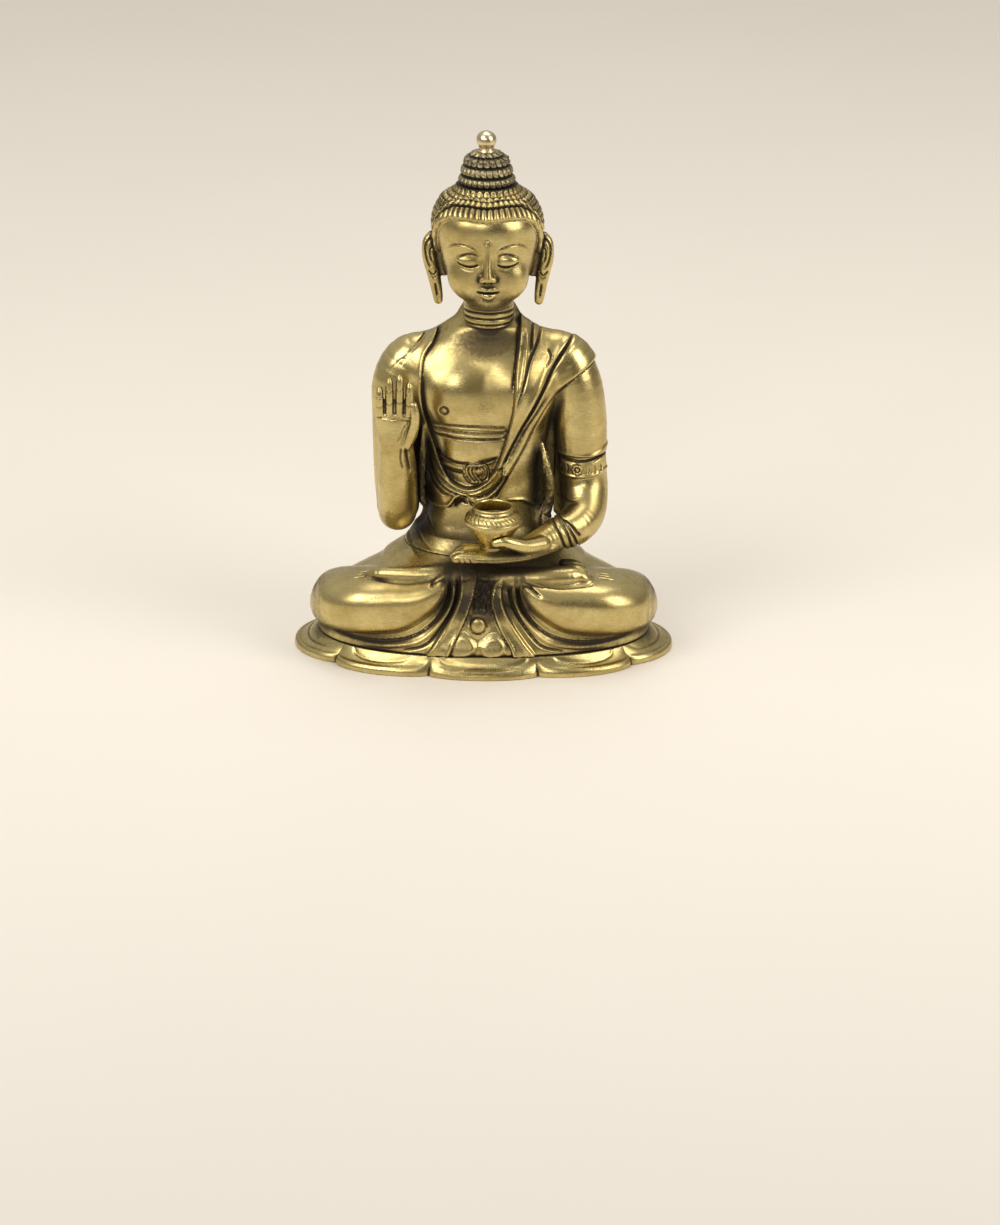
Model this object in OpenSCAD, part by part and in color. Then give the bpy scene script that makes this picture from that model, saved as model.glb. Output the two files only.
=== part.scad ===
// Seated brass figure with a raised right hand and an alms bowl, cast in sections that plug, pin and screw together.
// Millimetres. +Z is up, the face looks along -Y, and the origin is the centre of the base on the surface it stands on.

/* [Base] */
// Width over the side petals of the base
base_w = 153; // [148:1:158]
// Depth of the base, front to back
base_d = 84; // [80:1:88]
// Depth of the notches between the petals
petal_notch = 4; // [1:0.2:5]

/* [Figure] */
// Width over the knees
knee_w = 142; // [136:1:146]
// Depth of the crossed legs, front to back
lap_d = 74; // [70:1:76]
// Height of the joint between the legs and the torso
waist_z = 44; // [43:1:46]
// Height of the collar, where the neck stands on the torso
collar_z = 136; // [134:1:138]
// Width of the head over the hair
head_w = 45; // [42:1:46]
// Height of the crown, where the topknot stands on the head
crown_z = 192; // [191:0.5:193]
// Height of the whole figure
total_h = 216; // [213:1:218]

/* [Casting] */
// Thickness of the hollow castings
wall = 3; // [2.5:0.25:3.5]
// Radial clearance of a spigot in its socket
spigot_gap = 0.05; // [0.02:0.01:0.1]

/* [Bowl] */
// Diameter of the alms bowl at its belly
bowl_d = 24.6; // [24:0.2:27]
// Thickness of the bowl's wall
bowl_wall = 1.6; // [1.2:0.1:2]

/* [Hidden] */

sides = 40;                      // facets round a cast body
base_sides = 120;                // facets round the base, which meet at its notches
side_petal = 72;                 // degrees that a side petal spans
front_petal = 36;                // degrees that a front or back petal spans
limb_sides = 20;                 // facets round an arm
finger_sides = 12;               // facets round a finger
steps = 3;                       // rings added between two hand-set sections
$fn = 64;

base_top = 8;                    // where the legs stand on the base
base_lip = 2.4;                  // thickness of the petals at their rim
flange_in = [20, 14];            // half sizes of the opening in the torso's floor and the lap's roof
screw_r = 1.5;                   // M3 screws
screw_head_r = 2.75;
screw_head_h = 2;
screw_hole_r = 1.7;
washer_r = 3.5;
washer_h = 0.5;
base_screw_at = [[-46.5, -4], [46.5, -4], [-24, 23], [24, 23]];
waist_screw_at = [[-23.5, 7], [23.5, 7], [0, 24.5]];
post_r = 4.5;                    // posts inside the legs that take the base screws
post_h = 27;

torso_y = 8;                     // the spine's place behind the middle of the base
neck_spigot_r = 7;
neck_spigot_h = 11;
neck_hollow_r = 4.4;
pin_r = 1.25;
neck_pin_z = collar_z - 6;

hem_z = 83;                      // sleeve hem, where the left forearm plugs in
left_arm_x = 39.5;
left_arm_y = 5;
sleeve_r = 10;
arm_spigot_r = 4;
arm_spigot_h = 8;

elbow_y = -1;                    // plane on which the right forearm meets the upper arm
elbow_at = [-34.5, 61];          // x and z of that joint's spigot
elbow_spigot_r = 3.6;
elbow_spigot_h = 6;

bowl_at = [3.5, -28.5];            // x and y of the bowl's axis
bowl_foot_z = 52.2;
bowl_h = 18;
bowl_mouth_r = 7.6;
bowl_screw_top = bowl_foot_z + 2.4;

topknot_r = 11;
topknot_h = 16;
topknot_tiers = 4;
crown_hole_r = 5;
head_y = 5;
jewel_r = 4;
jewel_stem_r = 1.5;

// ---- curves and rings -------------------------------------------------------------------------

// One coordinate of a smooth curve through four values, at t from 0 to 1 between the middle two.
function smooth4(a, b, c, d, t) =
    0.5 * (2 * b + (c - a) * t + (2 * a - 5 * b + 4 * c - d) * t * t + (3 * b - a - 3 * c + d) * t * t * t);

// A list of hand-set rows with extra rows worked out smoothly between them.
function smooth_rows(rows, n) =
    let (last = len(rows) - 1)
    [for (i = [0 : last - 1], k = [0 : n])
        let (p = rows[max(i - 1, 0)], q = rows[i], r = rows[i + 1], s = rows[min(i + 2, last)], t = k / (n + 1))
        [for (j = [0 : len(q) - 1]) smooth4(p[j], q[j], r[j], s[j], t)],
     rows[last]];

// A point at angle t on a superellipse of half sizes a and b. A power of 2 is a plain ellipse.
function squircle(t, a, b, power) =
    [a * sign(cos(t)) * pow(abs(cos(t)), 2 / power), b * sign(sin(t)) * pow(abs(sin(t)), 2 / power)];

// A level ring. A row is [z, x, y, half width, half depth, power]; inset shrinks it evenly.
function level_ring(row, inset = 0) =
    [for (i = [0 : sides - 1])
        let (p = squircle(360 * i / sides, row[3] - inset, row[4] - inset, row[5]))
        [row[1] + p.x, row[2] + p.y, row[0]]];

// Faces that join ring k to ring k + 1 of n points each.
function side_faces(first, n, flip) =
    [for (i = [0 : n - 1])
        let (a = first + i, b = first + (i + 1) % n, c = b + n, d = a + n)
        flip ? [d, c, b, a] : [a, b, c, d]];

function ring_faces(first, rings, n, flip = false) =
    [for (k = [0 : rings - 2]) each side_faces(first + k * n, n, flip)];

// A solid with a closed bottom and top, through level or tilted rings that run upwards.
module solid_loft(rings) {
    n = len(rings[0]);
    last = (len(rings) - 1) * n;
    polyhedron(
        points = [for (r = rings) each r],
        faces = concat([[for (i = [0 : n - 1]) i]],
                       [for (f = ring_faces(0, len(rings), n)) [f[3], f[2], f[1], f[0]]],
                       [[for (i = [n - 1 : -1 : 0]) last + i]]));
}

// A limb of round section. Each row is [x, y, z, radius], and squeeze flattens it along its own two axes.
function limb_frame(rows, i) =
    let (a = rows[max(i - 1, 0)], b = rows[min(i + 1, len(rows) - 1)],
         way = [b[0] - a[0], b[1] - a[1], b[2] - a[2]],
         t = way / norm(way),
         side = abs(t.y) > 0.95 ? [1, 0, 0] : [0, 1, 0],
         u = cross(side, t) / norm(cross(side, t)))
    [u, cross(t, u)];

function limb_ring(rows, i, n, squeeze) =
    let (axes = limb_frame(rows, i), c = [rows[i][0], rows[i][1], rows[i][2]])
    [for (k = [0 : n - 1])
        let (t = 360 * k / n)
        c + rows[i][3] * (squeeze[0] * cos(t) * axes[0] + squeeze[1] * sin(t) * axes[1])];

module limb(rows, n = limb_sides, squeeze = [1, 1]) {
    smooth = smooth_rows(rows, 2);
    solid_loft([for (i = [0 : len(smooth) - 1]) limb_ring(smooth, i, n, squeeze)]);
}

module body_loft(rows, inset = 0) {
    solid_loft([for (row = smooth_rows(rows, steps)) level_ring(row, inset)]);
}

module hole(at, z, h, r) {
    translate([at.x, at.y, z]) cylinder(h = h, r = r);
}

// ---- base ----------------------------------------------------------------------------------------

// The base is an oval of three petals in front, three behind and a wider one at each side.
// How far through its petal an angle is, from 0 to 1.
function petal_share(t) =
    let (a = (t + 360 + side_petal / 2) % 360, half = a % 180)
    half < side_petal ? half / side_petal : ((half - side_petal) / front_petal) % 1;

// Depth of the rim's notch at an angle, sharp between two petals and nothing at a petal's middle.
function notch_depth(t) = petal_notch * (1 - pow(sin(180 * petal_share(t)), 0.55));

function base_outline(share, notch) =
    [for (i = [0 : base_sides - 1])
        let (t = 360 * i / base_sides, in = notch * notch_depth(t))
        squircle(t, base_w / 2 * share - in, base_d / 2 * share - in, 2.2)];

function base_ring(z, share, notch) = [for (p = base_outline(share, notch)) [p.x, p.y, z]];

module lotus_base() {
    color("darkgoldenrod") difference() {
        union() {
            linear_extrude(base_lip) polygon(base_outline(1, 1));
            solid_loft([base_ring(1, 0.97, 0.9), base_ring(base_lip + 0.4, 0.97, 0.9), base_ring(5, 0.94, 0.6),
                        base_ring(base_top, 0.9, 0.3)]);
        }
        // the hollow underneath, and the big opening under the legs
        translate([0, 0, -1]) linear_extrude(base_top - wall + 1)
            polygon([for (i = [0 : sides - 1]) squircle(360 * i / sides + 2, 66, 34, 2.2)]);
        translate([0, 0, 1]) linear_extrude(base_top)
            polygon([for (i = [0 : sides - 1]) squircle(360 * i / sides, 42, 21, 2.4)]);
        for (p = base_screw_at) hole(p, base_top - wall - 1, wall + 2, screw_hole_r);
    }
}

module screw_up(p, z, length) {
    hole(p, z - screw_head_h, screw_head_h, screw_head_r);
    hole(p, z - 0.01, length + 0.01, screw_r);
}

module base_washers() {
    color("goldenrod") for (p = base_screw_at) difference() {
        hole(p, base_top - wall - washer_h, washer_h, washer_r);
        hole(p, base_top - wall - 1, 2, screw_hole_r);
    }
}

module base_screws() {
    color("silver") for (p = base_screw_at) screw_up(p, base_top - wall - washer_h, wall + washer_h + 7);
}

// ---- legs ----------------------------------------------------------------------------------------

lap_rows = [[base_top, 0, 0, knee_w / 2 - 5, lap_d / 2 - 3, 2.2],
            [12, 0, 0, knee_w / 2 - 4, lap_d / 2 - 4, 2.2],
            [20, 0, 1, knee_w / 2, lap_d / 2 - 4, 2.2],
            [28, 0, 1, knee_w / 2 - 3, lap_d / 2 - 4, 2.2],
            [36, 0, 2, knee_w / 2 - 18, lap_d / 2 - 6, 2.1],
            [waist_z, 0, 6, 34, 23.5, 2.1]];

lap_hollow_rows = [[base_top - 1, 0, 0, knee_w / 2 - 6, lap_d / 2 - 4, 2.2],
                   [20, 0, 1, knee_w / 2 - 1, lap_d / 2 - 4, 2.2],
                   [27, 0, 1, knee_w / 2 - 6, lap_d / 2 - 5, 2.2],
                   [34, 0, 2, knee_w / 2 - 20, lap_d / 2 - 7, 2.1],
                   [waist_z - wall, 0, 6, 33, 23, 2.1]];

module flange_opening(z, h) {
    translate([0, torso_y, z]) linear_extrude(h)
        polygon([for (i = [0 : sides - 1]) squircle(360 * i / sides, flange_in.x, flange_in.y, 2)]);
}

// The shins under the robe, two fat rolls from the knees to the middle.
module shins() {
    for (side = [-1, 1])
        limb([[side * 67, 0, 20, 5], [side * 62, -6, 21, 9], [side * 50, -15, 22, 12.5], [side * 34, -21, 22.5, 13.5],
              [side * 18, -24, 24.5, 12], [side * 9, -24, 27, 8]]);
}

module feet() {
    limb([[44, -18, 36.5, 3.4], [36, -22, 37.5, 4.4], [20, -25, 37, 5], [6, -26, 35.5, 4.6], [-2, -25, 34, 3]],
         n = finger_sides);
    limb([[-44, -18, 36.5, 3], [-38, -21, 37, 3.8], [-24, -24, 37, 4], [-12, -24, 35.5, 3]], n = finger_sides);
}

module lap_casting() {
    color("darkgoldenrod") difference() {
        union() {
            difference() {
                union() {
                    body_loft(lap_rows);
                    shins();
                    feet();
                }
                body_loft(lap_hollow_rows, wall);
            }
            for (p = base_screw_at) hole(p, base_top, post_h, post_r);
        }
        flange_opening(waist_z - wall - 2, wall + 4);
        for (p = base_screw_at) hole(p, base_top - 1, 11, screw_r);
        for (p = waist_screw_at) hole(p, waist_z - wall - 1, wall + 2, screw_hole_r);
    }
}

module waist_screws() {
    color("silver") for (p = waist_screw_at) screw_up(p, waist_z - wall, wall + 5);
}

// ---- torso ---------------------------------------------------------------------------------------

torso_rows = [[waist_z, 0, 6, 33.5, 23, 2.1],
              [51, 0, 7, 29.5, 20.5, 2.1],
              [62, 0, torso_y, 24.5, 18.5, 2.2],
              [80, 0, torso_y, 25.5, 18.5, 2.3],
              [98, 0, torso_y, 31, 20.5, 2.3],
              [112, 0, torso_y, 36.5, 20, 2.2],
              [123, 0, torso_y, 34.5, 17, 2.1],
              [131, 0, torso_y, 25.5, 14.2, 2],
              [collar_z, 0, torso_y - 1, 16.5, 12, 2]];

// The robe that hangs behind both arms and closes the gaps beside the waist.
robe_back_rows = [[65, -3, torso_y + 1, 30, 5, 3],
                  [72, -3, torso_y + 1, 31, 6, 3],
                  [100, -3, torso_y + 1, 31.4, 7, 3],
                  [113, -3, torso_y + 1, 31, 7, 3]];

torso_hollow_rows = [[waist_z + 5, 0, 6, 29, 20, 2.1],
                     [62, 0, torso_y, 24.5, 18.5, 2.2],
                     [80, 0, torso_y, 25.5, 18.5, 2.3],
                     [98, 0, torso_y, 30, 20, 2.3],
                     [111, 0, torso_y, 32, 18.5, 2.2],
                     [121, 0, torso_y, 23, 14.5, 2]];

module left_sleeve() {
    limb([[left_arm_x, left_arm_y, hem_z, sleeve_r], [left_arm_x - 1, 6, 96, 10.4], [36, 7, 110, 11],
          [31, 8, 120, 9.5], [22, 8, 125, 5]]);
}

module right_upper_arm() {
    limb([[-35, 5, 52.5, 3], [-35.2, 5, 54.5, 7], [-35.5, 5, 61, 9], [-35.5, 5.5, 80, 9.3], [-35, 6, 96, 9.8],
          [-34.5, 7, 110, 10.4], [-30, 8, 120, 9.5], [-22, 8, 125, 5]]);
}

module along_y(at, y, length, r) {
    translate([at.x, y, at.y]) rotate([-90, 0, 0]) cylinder(h = length, r = r);
}

module along_x(at, x, length, r) {
    translate([x, at.x, at.y]) rotate([0, 90, 0]) cylinder(h = length, r = r);
}

// Rolled edges of the robe: over the right shoulder, down from the left shoulder, and round the hips.
module robe_edges() {
    limb([[-11, -3, 134, 1.4], [-16, -9.6, 125, 1.8], [-21, -12.8, 114, 1.9], [-25.5, -12, 104, 1.6]], n = 8);
    limb([[29, -4.5, 124, 1.6], [22, -12, 109, 2.2], [13, -12.8, 92, 2.4], [7, -11.4, 77, 2.2], [2, -11, 70, 1.4]], n = 8);
    limb([[-21.5, -2, 66, 1.6], [-13, -8.6, 62.6, 1.7], [-2, -11, 61.5, 1.8], [10, -10.4, 63, 1.7],
          [20, -4, 67, 1.4]], n = 8);
}

module torso_casting() {
    color("goldenrod") difference() {
        union() {
            body_loft(torso_rows);
            body_loft(robe_back_rows);
            robe_edges();
            left_sleeve();
            difference() {
                right_upper_arm();
                translate([-60, elbow_y - 40, 40]) cube([50, 40, 35]);
            }
        }
        body_loft(torso_hollow_rows, wall);
        flange_opening(waist_z - 1, 8);
        for (p = waist_screw_at) hole(p, waist_z - 1, 6.5, screw_r);
        // neck socket, open into the hollow chest
        hole([0, torso_y - 1], 112, collar_z - 111, neck_spigot_r);
        along_y([0, neck_pin_z], torso_y - 1, 30, pin_r);
        // sleeve socket and its pin
        hole([left_arm_x, left_arm_y], hem_z - 1, arm_spigot_h + 1.3, arm_spigot_r);
        along_x([left_arm_y, hem_z + 4], left_arm_x, 20, pin_r);
        // elbow socket and its pin
        along_y(elbow_at, elbow_y - 1, elbow_spigot_h + 1.3, elbow_spigot_r);
        along_x([elbow_y + 3.2, elbow_at.y], -60, 60 + elbow_at.x, pin_r);
    }
}

module neck_pin() {
    color("gold") along_y([0, neck_pin_z], torso_y, 11.5, pin_r);
}

module left_elbow_pin() {
    color("gold") along_x([left_arm_y, hem_z + 4], left_arm_x, 9.5, pin_r);
}

module right_elbow_pin() {
    color("gold") along_x([elbow_y + 3.2, elbow_at.y], -43, 43 + elbow_at.x, pin_r);
}

// ---- head ----------------------------------------------------------------------------------------

head_rows = [[147.5, 0, -1, 7, 7, 2],
             [151, 0, 1, 13, 12.5, 2],
             [158, 0, 3, 18.5, 18, 2.1],
             [168, 0, head_y, 21, 21, 2.1],
             [178, 0, head_y, head_w / 2, 22.5, 2.1],
             [183, 0, head_y, head_w / 2 - 0.7, 21.7, 2],
             [188, 0, head_y, 17.5, 17.5, 2],
             [crown_z, 0, head_y, 11.8, 11.8, 2]];

head_hollow_rows = [[156, 0, 3, 15, 14, 2],
                    [168, 0, head_y, 21, 21, 2.1],
                    [178, 0, head_y, 21.5, 21.5, 2.1],
                    [187, 0, head_y, 14, 14, 2]];

module ear(side) {
    limb([[side * 18, 8, 144, 1.6], [side * 19, 7, 148, 2.4], [side * 21, 7, 158, 2.4],
          [side * 23, 8, 166, 3.2], [side * 23.5, 9, 173, 2]], n = finger_sides);
}

// Neck of three rolls on a plain spigot, hollow for lightness.
module neck() {
    translate([0, torso_y - 1, 0]) rotate_extrude()
        polygon(concat([[0, collar_z - neck_spigot_h], [neck_spigot_r - spigot_gap, collar_z - neck_spigot_h],
                        [neck_spigot_r - spigot_gap, collar_z]],
                       [for (roll = [0 : 2], t = [-90 : 30 : 90])
                           [9.6 + 0.9 * cos(t), collar_z + 2 + 4 * roll + 2 * sin(t)]],
                       [[9.6, 153], [0, 153]]));
}

module head_casting() {
    color("goldenrod") difference() {
        union() {
            body_loft(head_rows);
            neck();
            for (side = [-1, 1]) ear(side);
        }
        body_loft(head_hollow_rows, wall);
        hole([0, torso_y - 1], 120, 45, neck_hollow_r);
        hole([0, head_y], 175, 20, crown_hole_r);
        along_y([0, neck_pin_z], torso_y, 15, pin_r);
    }
}

// Stacked tiers, each a rounded step smaller than the one below.
module topknot() {
    tier_h = (topknot_h - 3) / topknot_tiers;
    color("darkgoldenrod") translate([0, head_y, 0]) difference() {
        rotate_extrude()
            polygon(concat([[0, crown_z - 4], [crown_hole_r - spigot_gap, crown_z - 4],
                            [crown_hole_r - spigot_gap, crown_z]],
                           [for (k = [0 : topknot_tiers - 1], t = [-80 : 20 : 80])
                               let (r = topknot_r - 1.2 - pow(k / 3, 2.2) * 4)
                               [r + 1.2 * cos(t), crown_z + tier_h * (k + 0.5 + 0.5 * sin(t))]],
                           [[3, crown_z + topknot_h], [0, crown_z + topknot_h]]));
        translate([0, 0, crown_z + topknot_h - 8]) cylinder(h = 10, r = jewel_stem_r);
    }
}

module finial_jewel() {
    ball_z = total_h - jewel_r;
    color("lemonchiffon") translate([0, head_y, 0]) rotate_extrude()
        polygon(concat([[0, crown_z + topknot_h - 7.5], [jewel_stem_r - 0.02, crown_z + topknot_h - 7.5],
                        [jewel_stem_r - 0.02, crown_z + topknot_h]],
                       [for (t = [-65 : 5 : 90]) [jewel_r * cos(t), ball_z + jewel_r * sin(t)]]));
}

// ---- arms and bowl ---------------------------------------------------------------------------------

// A finger that bends a little, from its root to its tip.
module finger(root, middle, tip, r) {
    limb([[root.x, root.y, root.z, r], [middle.x, middle.y, middle.z, r * 0.95],
          [tip.x, tip.y, tip.z, r * 0.8], [tip.x, tip.y, tip.z + 1.2, r * 0.4]], n = finger_sides);
}

module right_forearm() {
    root_z = 105;
    tip_z = [116, 121, 123.5, 120];
    color("goldenrod") difference() {
        union() {
            difference() {
                union() {
                    limb([[-33.5, -9, 51.5, 3], [-33.5, -9, 53.5, 6.6], [-33.5, -9, 60, 8.8],
                          [-34, -14, 75, 8.2], [-35, -21, 86, 6], [-35, -24, 92, 5], [-35, -25, 99, 3]]);
                    limb([[-35, -21.5, 85, 5], [-35.2, -24, 91, 6.6], [-35.5, -25.5, 98, 7.6],
                          [-35.5, -26, root_z, 7.6], [-35.5, -26, 108, 6.4]], squeeze = [1, 0.5]);
                }
                translate([-60, elbow_y, 40]) cube([50, 40, 80]);
            }
            for (k = [0 : 3])
                finger([-41.4 + 3.9 * k, -26, root_z], [-41.2 + 3.8 * k, -27, 112],
                       [-41 + 3.6 * k, -27.5, tip_z[k]], 1.75);
            finger([-29.5, -26, 99], [-28.6, -28, 107], [-28.8, -28.5, 114], 2);
            along_y(elbow_at, elbow_y - 4, elbow_spigot_h + 4, elbow_spigot_r - spigot_gap);
        }
        along_x([elbow_y + 3.2, elbow_at.y], -60, 60 + elbow_at.x, pin_r);
    }
}

module left_forearm() {
    palm_z = bowl_foot_z - 2.5;
    color("goldenrod") difference() {
        union() {
            limb([[left_arm_x, -15, 50.8, 2], [left_arm_x, -14, 51.4, 3], [left_arm_x, -10, 54, 6.2],
                  [left_arm_x + 1, -4, 60, 8.6], [left_arm_x + 1, 2, 72, 9.8],
                  [left_arm_x, left_arm_y, hem_z - 1, sleeve_r], [left_arm_x, left_arm_y, hem_z, sleeve_r]]);
            limb([[left_arm_x + 2, -2, 56, 7.6], [36, -14, 54.5, 7.4], [28, -20, 54, 6.4], [19, -26, 52, 5.2],
                  [12, -28, 50.5, 3.4]]);
            limb([[24, -24, palm_z + 1, 4], [14, -27.5, palm_z, 7.6], [4, -29, palm_z, 8], [-4, -29.5, palm_z, 7.4],
                  [-7, -29.5, palm_z, 6]], squeeze = [0.32, 1]);
            for (k = [0 : 3])
                limb([[-3, -34.6 + 3.5 * k, palm_z, 1.8], [-8, -34.8 + 3.5 * k, palm_z, 1.8],
                      [-12.4, -35 + 3.5 * k, palm_z, 1.4]], n = finger_sides);
            limb([[18, -31, 51, 2.6], [10, -37, 53, 2.3], [3, -39.4, 57, 1.6]], n = finger_sides);
            hole([left_arm_x, left_arm_y], hem_z - 4, arm_spigot_h + 4, arm_spigot_r - spigot_gap);
        }
        along_x([left_arm_y, hem_z + 4], left_arm_x, 20, pin_r);
        hole(bowl_at, 40, 20, screw_hole_r);
        hole(bowl_at, 40, 8.6, screw_head_r + 0.4);
        translate([bowl_at.x, bowl_at.y, bowl_foot_z])
            rotate_extrude() polygon(concat([[0, 0]], [for (p = bowl_profile) [p.x + 0.3, p.y]], [[0, bowl_h]]));
    }
}

// Half of the bowl's section: a foot, a round belly, a drawn-in shoulder and a rolled rim.
bowl_profile = [[5.4, 0], [5.8, 1.2], [8.4, 4], [11.8, 8.4], [bowl_d / 2, 12], [11.6, 14.2], [8.8, 15.4],
                [8.6, 16.6], [bowl_mouth_r + 1.6, bowl_h]];

module alms_bowl() {
    inner = [for (i = [len(bowl_profile) - 1 : -1 : 2]) [bowl_profile[i].x - bowl_wall, bowl_profile[i].y]];
    color("gold") translate([bowl_at.x, bowl_at.y, bowl_foot_z]) difference() {
        rotate_extrude() polygon(concat([[0, 0]], bowl_profile, inner, [[0, 3.4]]));
        translate([0, 0, -1]) cylinder(h = 3.4, r = screw_r);
    }
}

module bowl_screw() {
    color("silver") screw_up(bowl_at, 48.6, bowl_screw_top - 48.7);
}

lotus_base();
lap_casting();
torso_casting();
head_casting();
topknot();
finial_jewel();
right_forearm();
left_forearm();
alms_bowl();
bowl_screw();
neck_pin();
right_elbow_pin();
left_elbow_pin();
waist_screws();
base_screws();
base_washers();
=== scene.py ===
import math

import bpy
import numpy as np
from mathutils import Matrix, Vector


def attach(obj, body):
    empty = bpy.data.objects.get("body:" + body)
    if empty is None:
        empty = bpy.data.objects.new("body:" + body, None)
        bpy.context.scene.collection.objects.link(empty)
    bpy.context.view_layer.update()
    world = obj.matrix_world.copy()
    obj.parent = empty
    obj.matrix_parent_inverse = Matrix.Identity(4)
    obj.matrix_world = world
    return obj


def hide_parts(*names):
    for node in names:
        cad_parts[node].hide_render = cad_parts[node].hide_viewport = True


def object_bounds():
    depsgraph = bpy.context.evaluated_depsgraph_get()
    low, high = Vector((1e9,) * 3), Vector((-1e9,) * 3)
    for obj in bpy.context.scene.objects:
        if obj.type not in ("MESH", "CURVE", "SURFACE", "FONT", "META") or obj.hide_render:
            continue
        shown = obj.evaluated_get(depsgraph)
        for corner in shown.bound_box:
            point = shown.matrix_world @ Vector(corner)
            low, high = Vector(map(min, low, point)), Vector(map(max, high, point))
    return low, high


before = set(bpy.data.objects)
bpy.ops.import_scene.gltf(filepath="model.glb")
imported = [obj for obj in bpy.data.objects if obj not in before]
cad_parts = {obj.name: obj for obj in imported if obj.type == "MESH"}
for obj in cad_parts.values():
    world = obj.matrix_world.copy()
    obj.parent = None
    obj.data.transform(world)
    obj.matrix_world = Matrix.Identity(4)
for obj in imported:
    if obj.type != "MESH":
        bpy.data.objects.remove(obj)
cad_low, cad_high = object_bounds()
MM = 0.001
PAD = 9.0          # mm; a shape further off than this can't change the surface here

# ---- measuring: every shape gives its distance in mm, negative inside ---------------------------


class Spot:
    """A group of neighbouring points, with their box."""

    def __init__(self, p):
        self.p = p
        self.x, self.y, self.z = p[:, 0], p[:, 1], p[:, 2]
        self.lo, self.hi = p.min(0), p.max(0)

    def gap(self, lo, hi):
        return float(np.max(np.maximum(lo - self.hi, self.lo - hi)))


def smin(a, b, k):
    h = np.maximum(k - np.abs(a - b), 0) / k
    return np.minimum(a, b) - h * h * k * 0.25


def smax(a, b, k):
    return -smin(-a, -b, k)


def curve(points, n=6):
    """Points on a smooth line through given ones."""
    p = np.array(points, float)
    a = np.vstack([2 * p[0] - p[1], p, 2 * p[-1] - p[-2]])
    t = np.linspace(0, 1, n, endpoint=False)[:, None]
    out = []
    for i in range(len(p) - 1):
        q0, q1, q2, q3 = a[i : i + 4]
        out.append(0.5 * (2 * q1 + (q2 - q0) * t + (2 * q0 - 5 * q1 + 4 * q2 - q3) * t * t
                          + (3 * q1 - q0 - 3 * q2 + q3) * t**3))
    return np.vstack([*out, p[-1:]])


class Limb:
    """A tube along a smooth line of (x, y, z, radius), flattened along one direction if asked."""

    def __init__(self, points, n=4, flat=1.0, across=(0, 0, 1)):
        c = curve(points, n)
        reach = c[:, 3].max()
        self.lo, self.hi = c[:, :3].min(0) - reach, c[:, :3].max(0) + reach
        w = np.array(across, float)
        w /= np.linalg.norm(w)
        self.flat = flat
        self.press = np.eye(3) + (1 / flat - 1) * np.outer(w, w)
        p = c[:, :3] @ self.press
        self.a, self.b = p[:-1], p[1:] - p[:-1]
        self.bb = np.maximum((self.b**2).sum(1), 1e-9)
        self.r, self.dr = c[:-1, 3], c[1:, 3] - c[:-1, 3]

    def __call__(self, q):
        g = q.gap(self.lo, self.hi)
        if g > PAD:
            return g
        p = q.p @ self.press if self.flat != 1 else q.p
        best = None
        for a, b, bb, r, dr in zip(self.a, self.b, self.bb, self.r, self.dr):
            v = p - a
            t = np.clip(v @ b / bb, 0, 1)
            v -= t[:, None] * b
            d = np.sqrt(np.einsum("ij,ij->i", v, v)) - (r + t * dr)
            best = d if best is None else np.minimum(best, d)
        return best * (1 + self.flat) / 2


class Egg:
    """An ellipsoid."""

    def __init__(self, centre, radii):
        self.c, self.r = np.array(centre, float), np.array(radii, float)
        self.lo, self.hi = self.c - self.r, self.c + self.r

    def __call__(self, q):
        g = q.gap(self.lo, self.hi)
        if g > PAD:
            return g
        p = (q.p - self.c) / self.r
        k0 = np.sqrt((p**2).sum(1))
        k1 = np.sqrt(((p / self.r) ** 2).sum(1))
        return k0 * (k0 - 1) / np.maximum(k1, 1e-6)


class Loft:
    """A body through rows of (height, centre, centre, half size, half size, power), upwards or along X."""

    def __init__(self, rows, axis=2):
        t = curve(rows, 8)
        t = t[np.argsort(t[:, 0])]
        self.axis, self.t = axis, t
        steep = np.maximum(np.abs(np.gradient(t[:, 3], t[:, 0])), np.abs(np.gradient(t[:, 4], t[:, 0])))
        self.ease = 1 / np.hypot(1, steep)
        u, v = [i for i in range(3) if i != axis]
        self.u, self.v = u, v
        self.lo, self.hi = np.zeros(3), np.zeros(3)
        self.lo[axis], self.hi[axis] = t[0, 0], t[-1, 0]
        self.lo[u], self.hi[u] = (t[:, 1] - t[:, 3]).min(), (t[:, 1] + t[:, 3]).max()
        self.lo[v], self.hi[v] = (t[:, 2] - t[:, 4]).min(), (t[:, 2] + t[:, 4]).max()

    def __call__(self, q):
        g = q.gap(self.lo, self.hi)
        if g > PAD:
            return g
        t = self.t
        h = q.p[:, self.axis]
        along = np.interp(np.clip(h, t[0, 0], t[-1, 0]), t[:, 0], np.arange(len(t)))
        i = np.minimum(along.astype(int), len(t) - 2)
        f = (along - i)[:, None]
        row = t[i] * (1 - f) + t[i + 1] * f
        ease = self.ease[i] * (1 - f[:, 0]) + self.ease[i + 1] * f[:, 0]
        du, dv = q.p[:, self.u] - row[:, 1], q.p[:, self.v] - row[:, 2]
        power = row[:, 5]
        rho = ((np.abs(du) / row[:, 3]) ** power + (np.abs(dv) / row[:, 4]) ** power) ** (1 / power)
        rho = np.maximum(rho, 0.05)
        d = np.hypot(du, dv)
        d = np.where(rho > 0.5, d * (1 - 1 / rho), (rho - 1) * np.minimum(row[:, 3], row[:, 4])) * ease
        over = np.maximum(t[0, 0] - h, h - t[-1, 0])
        return np.where((d > 0) & (over > 0), np.hypot(d, over), np.maximum(d, over))


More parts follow.
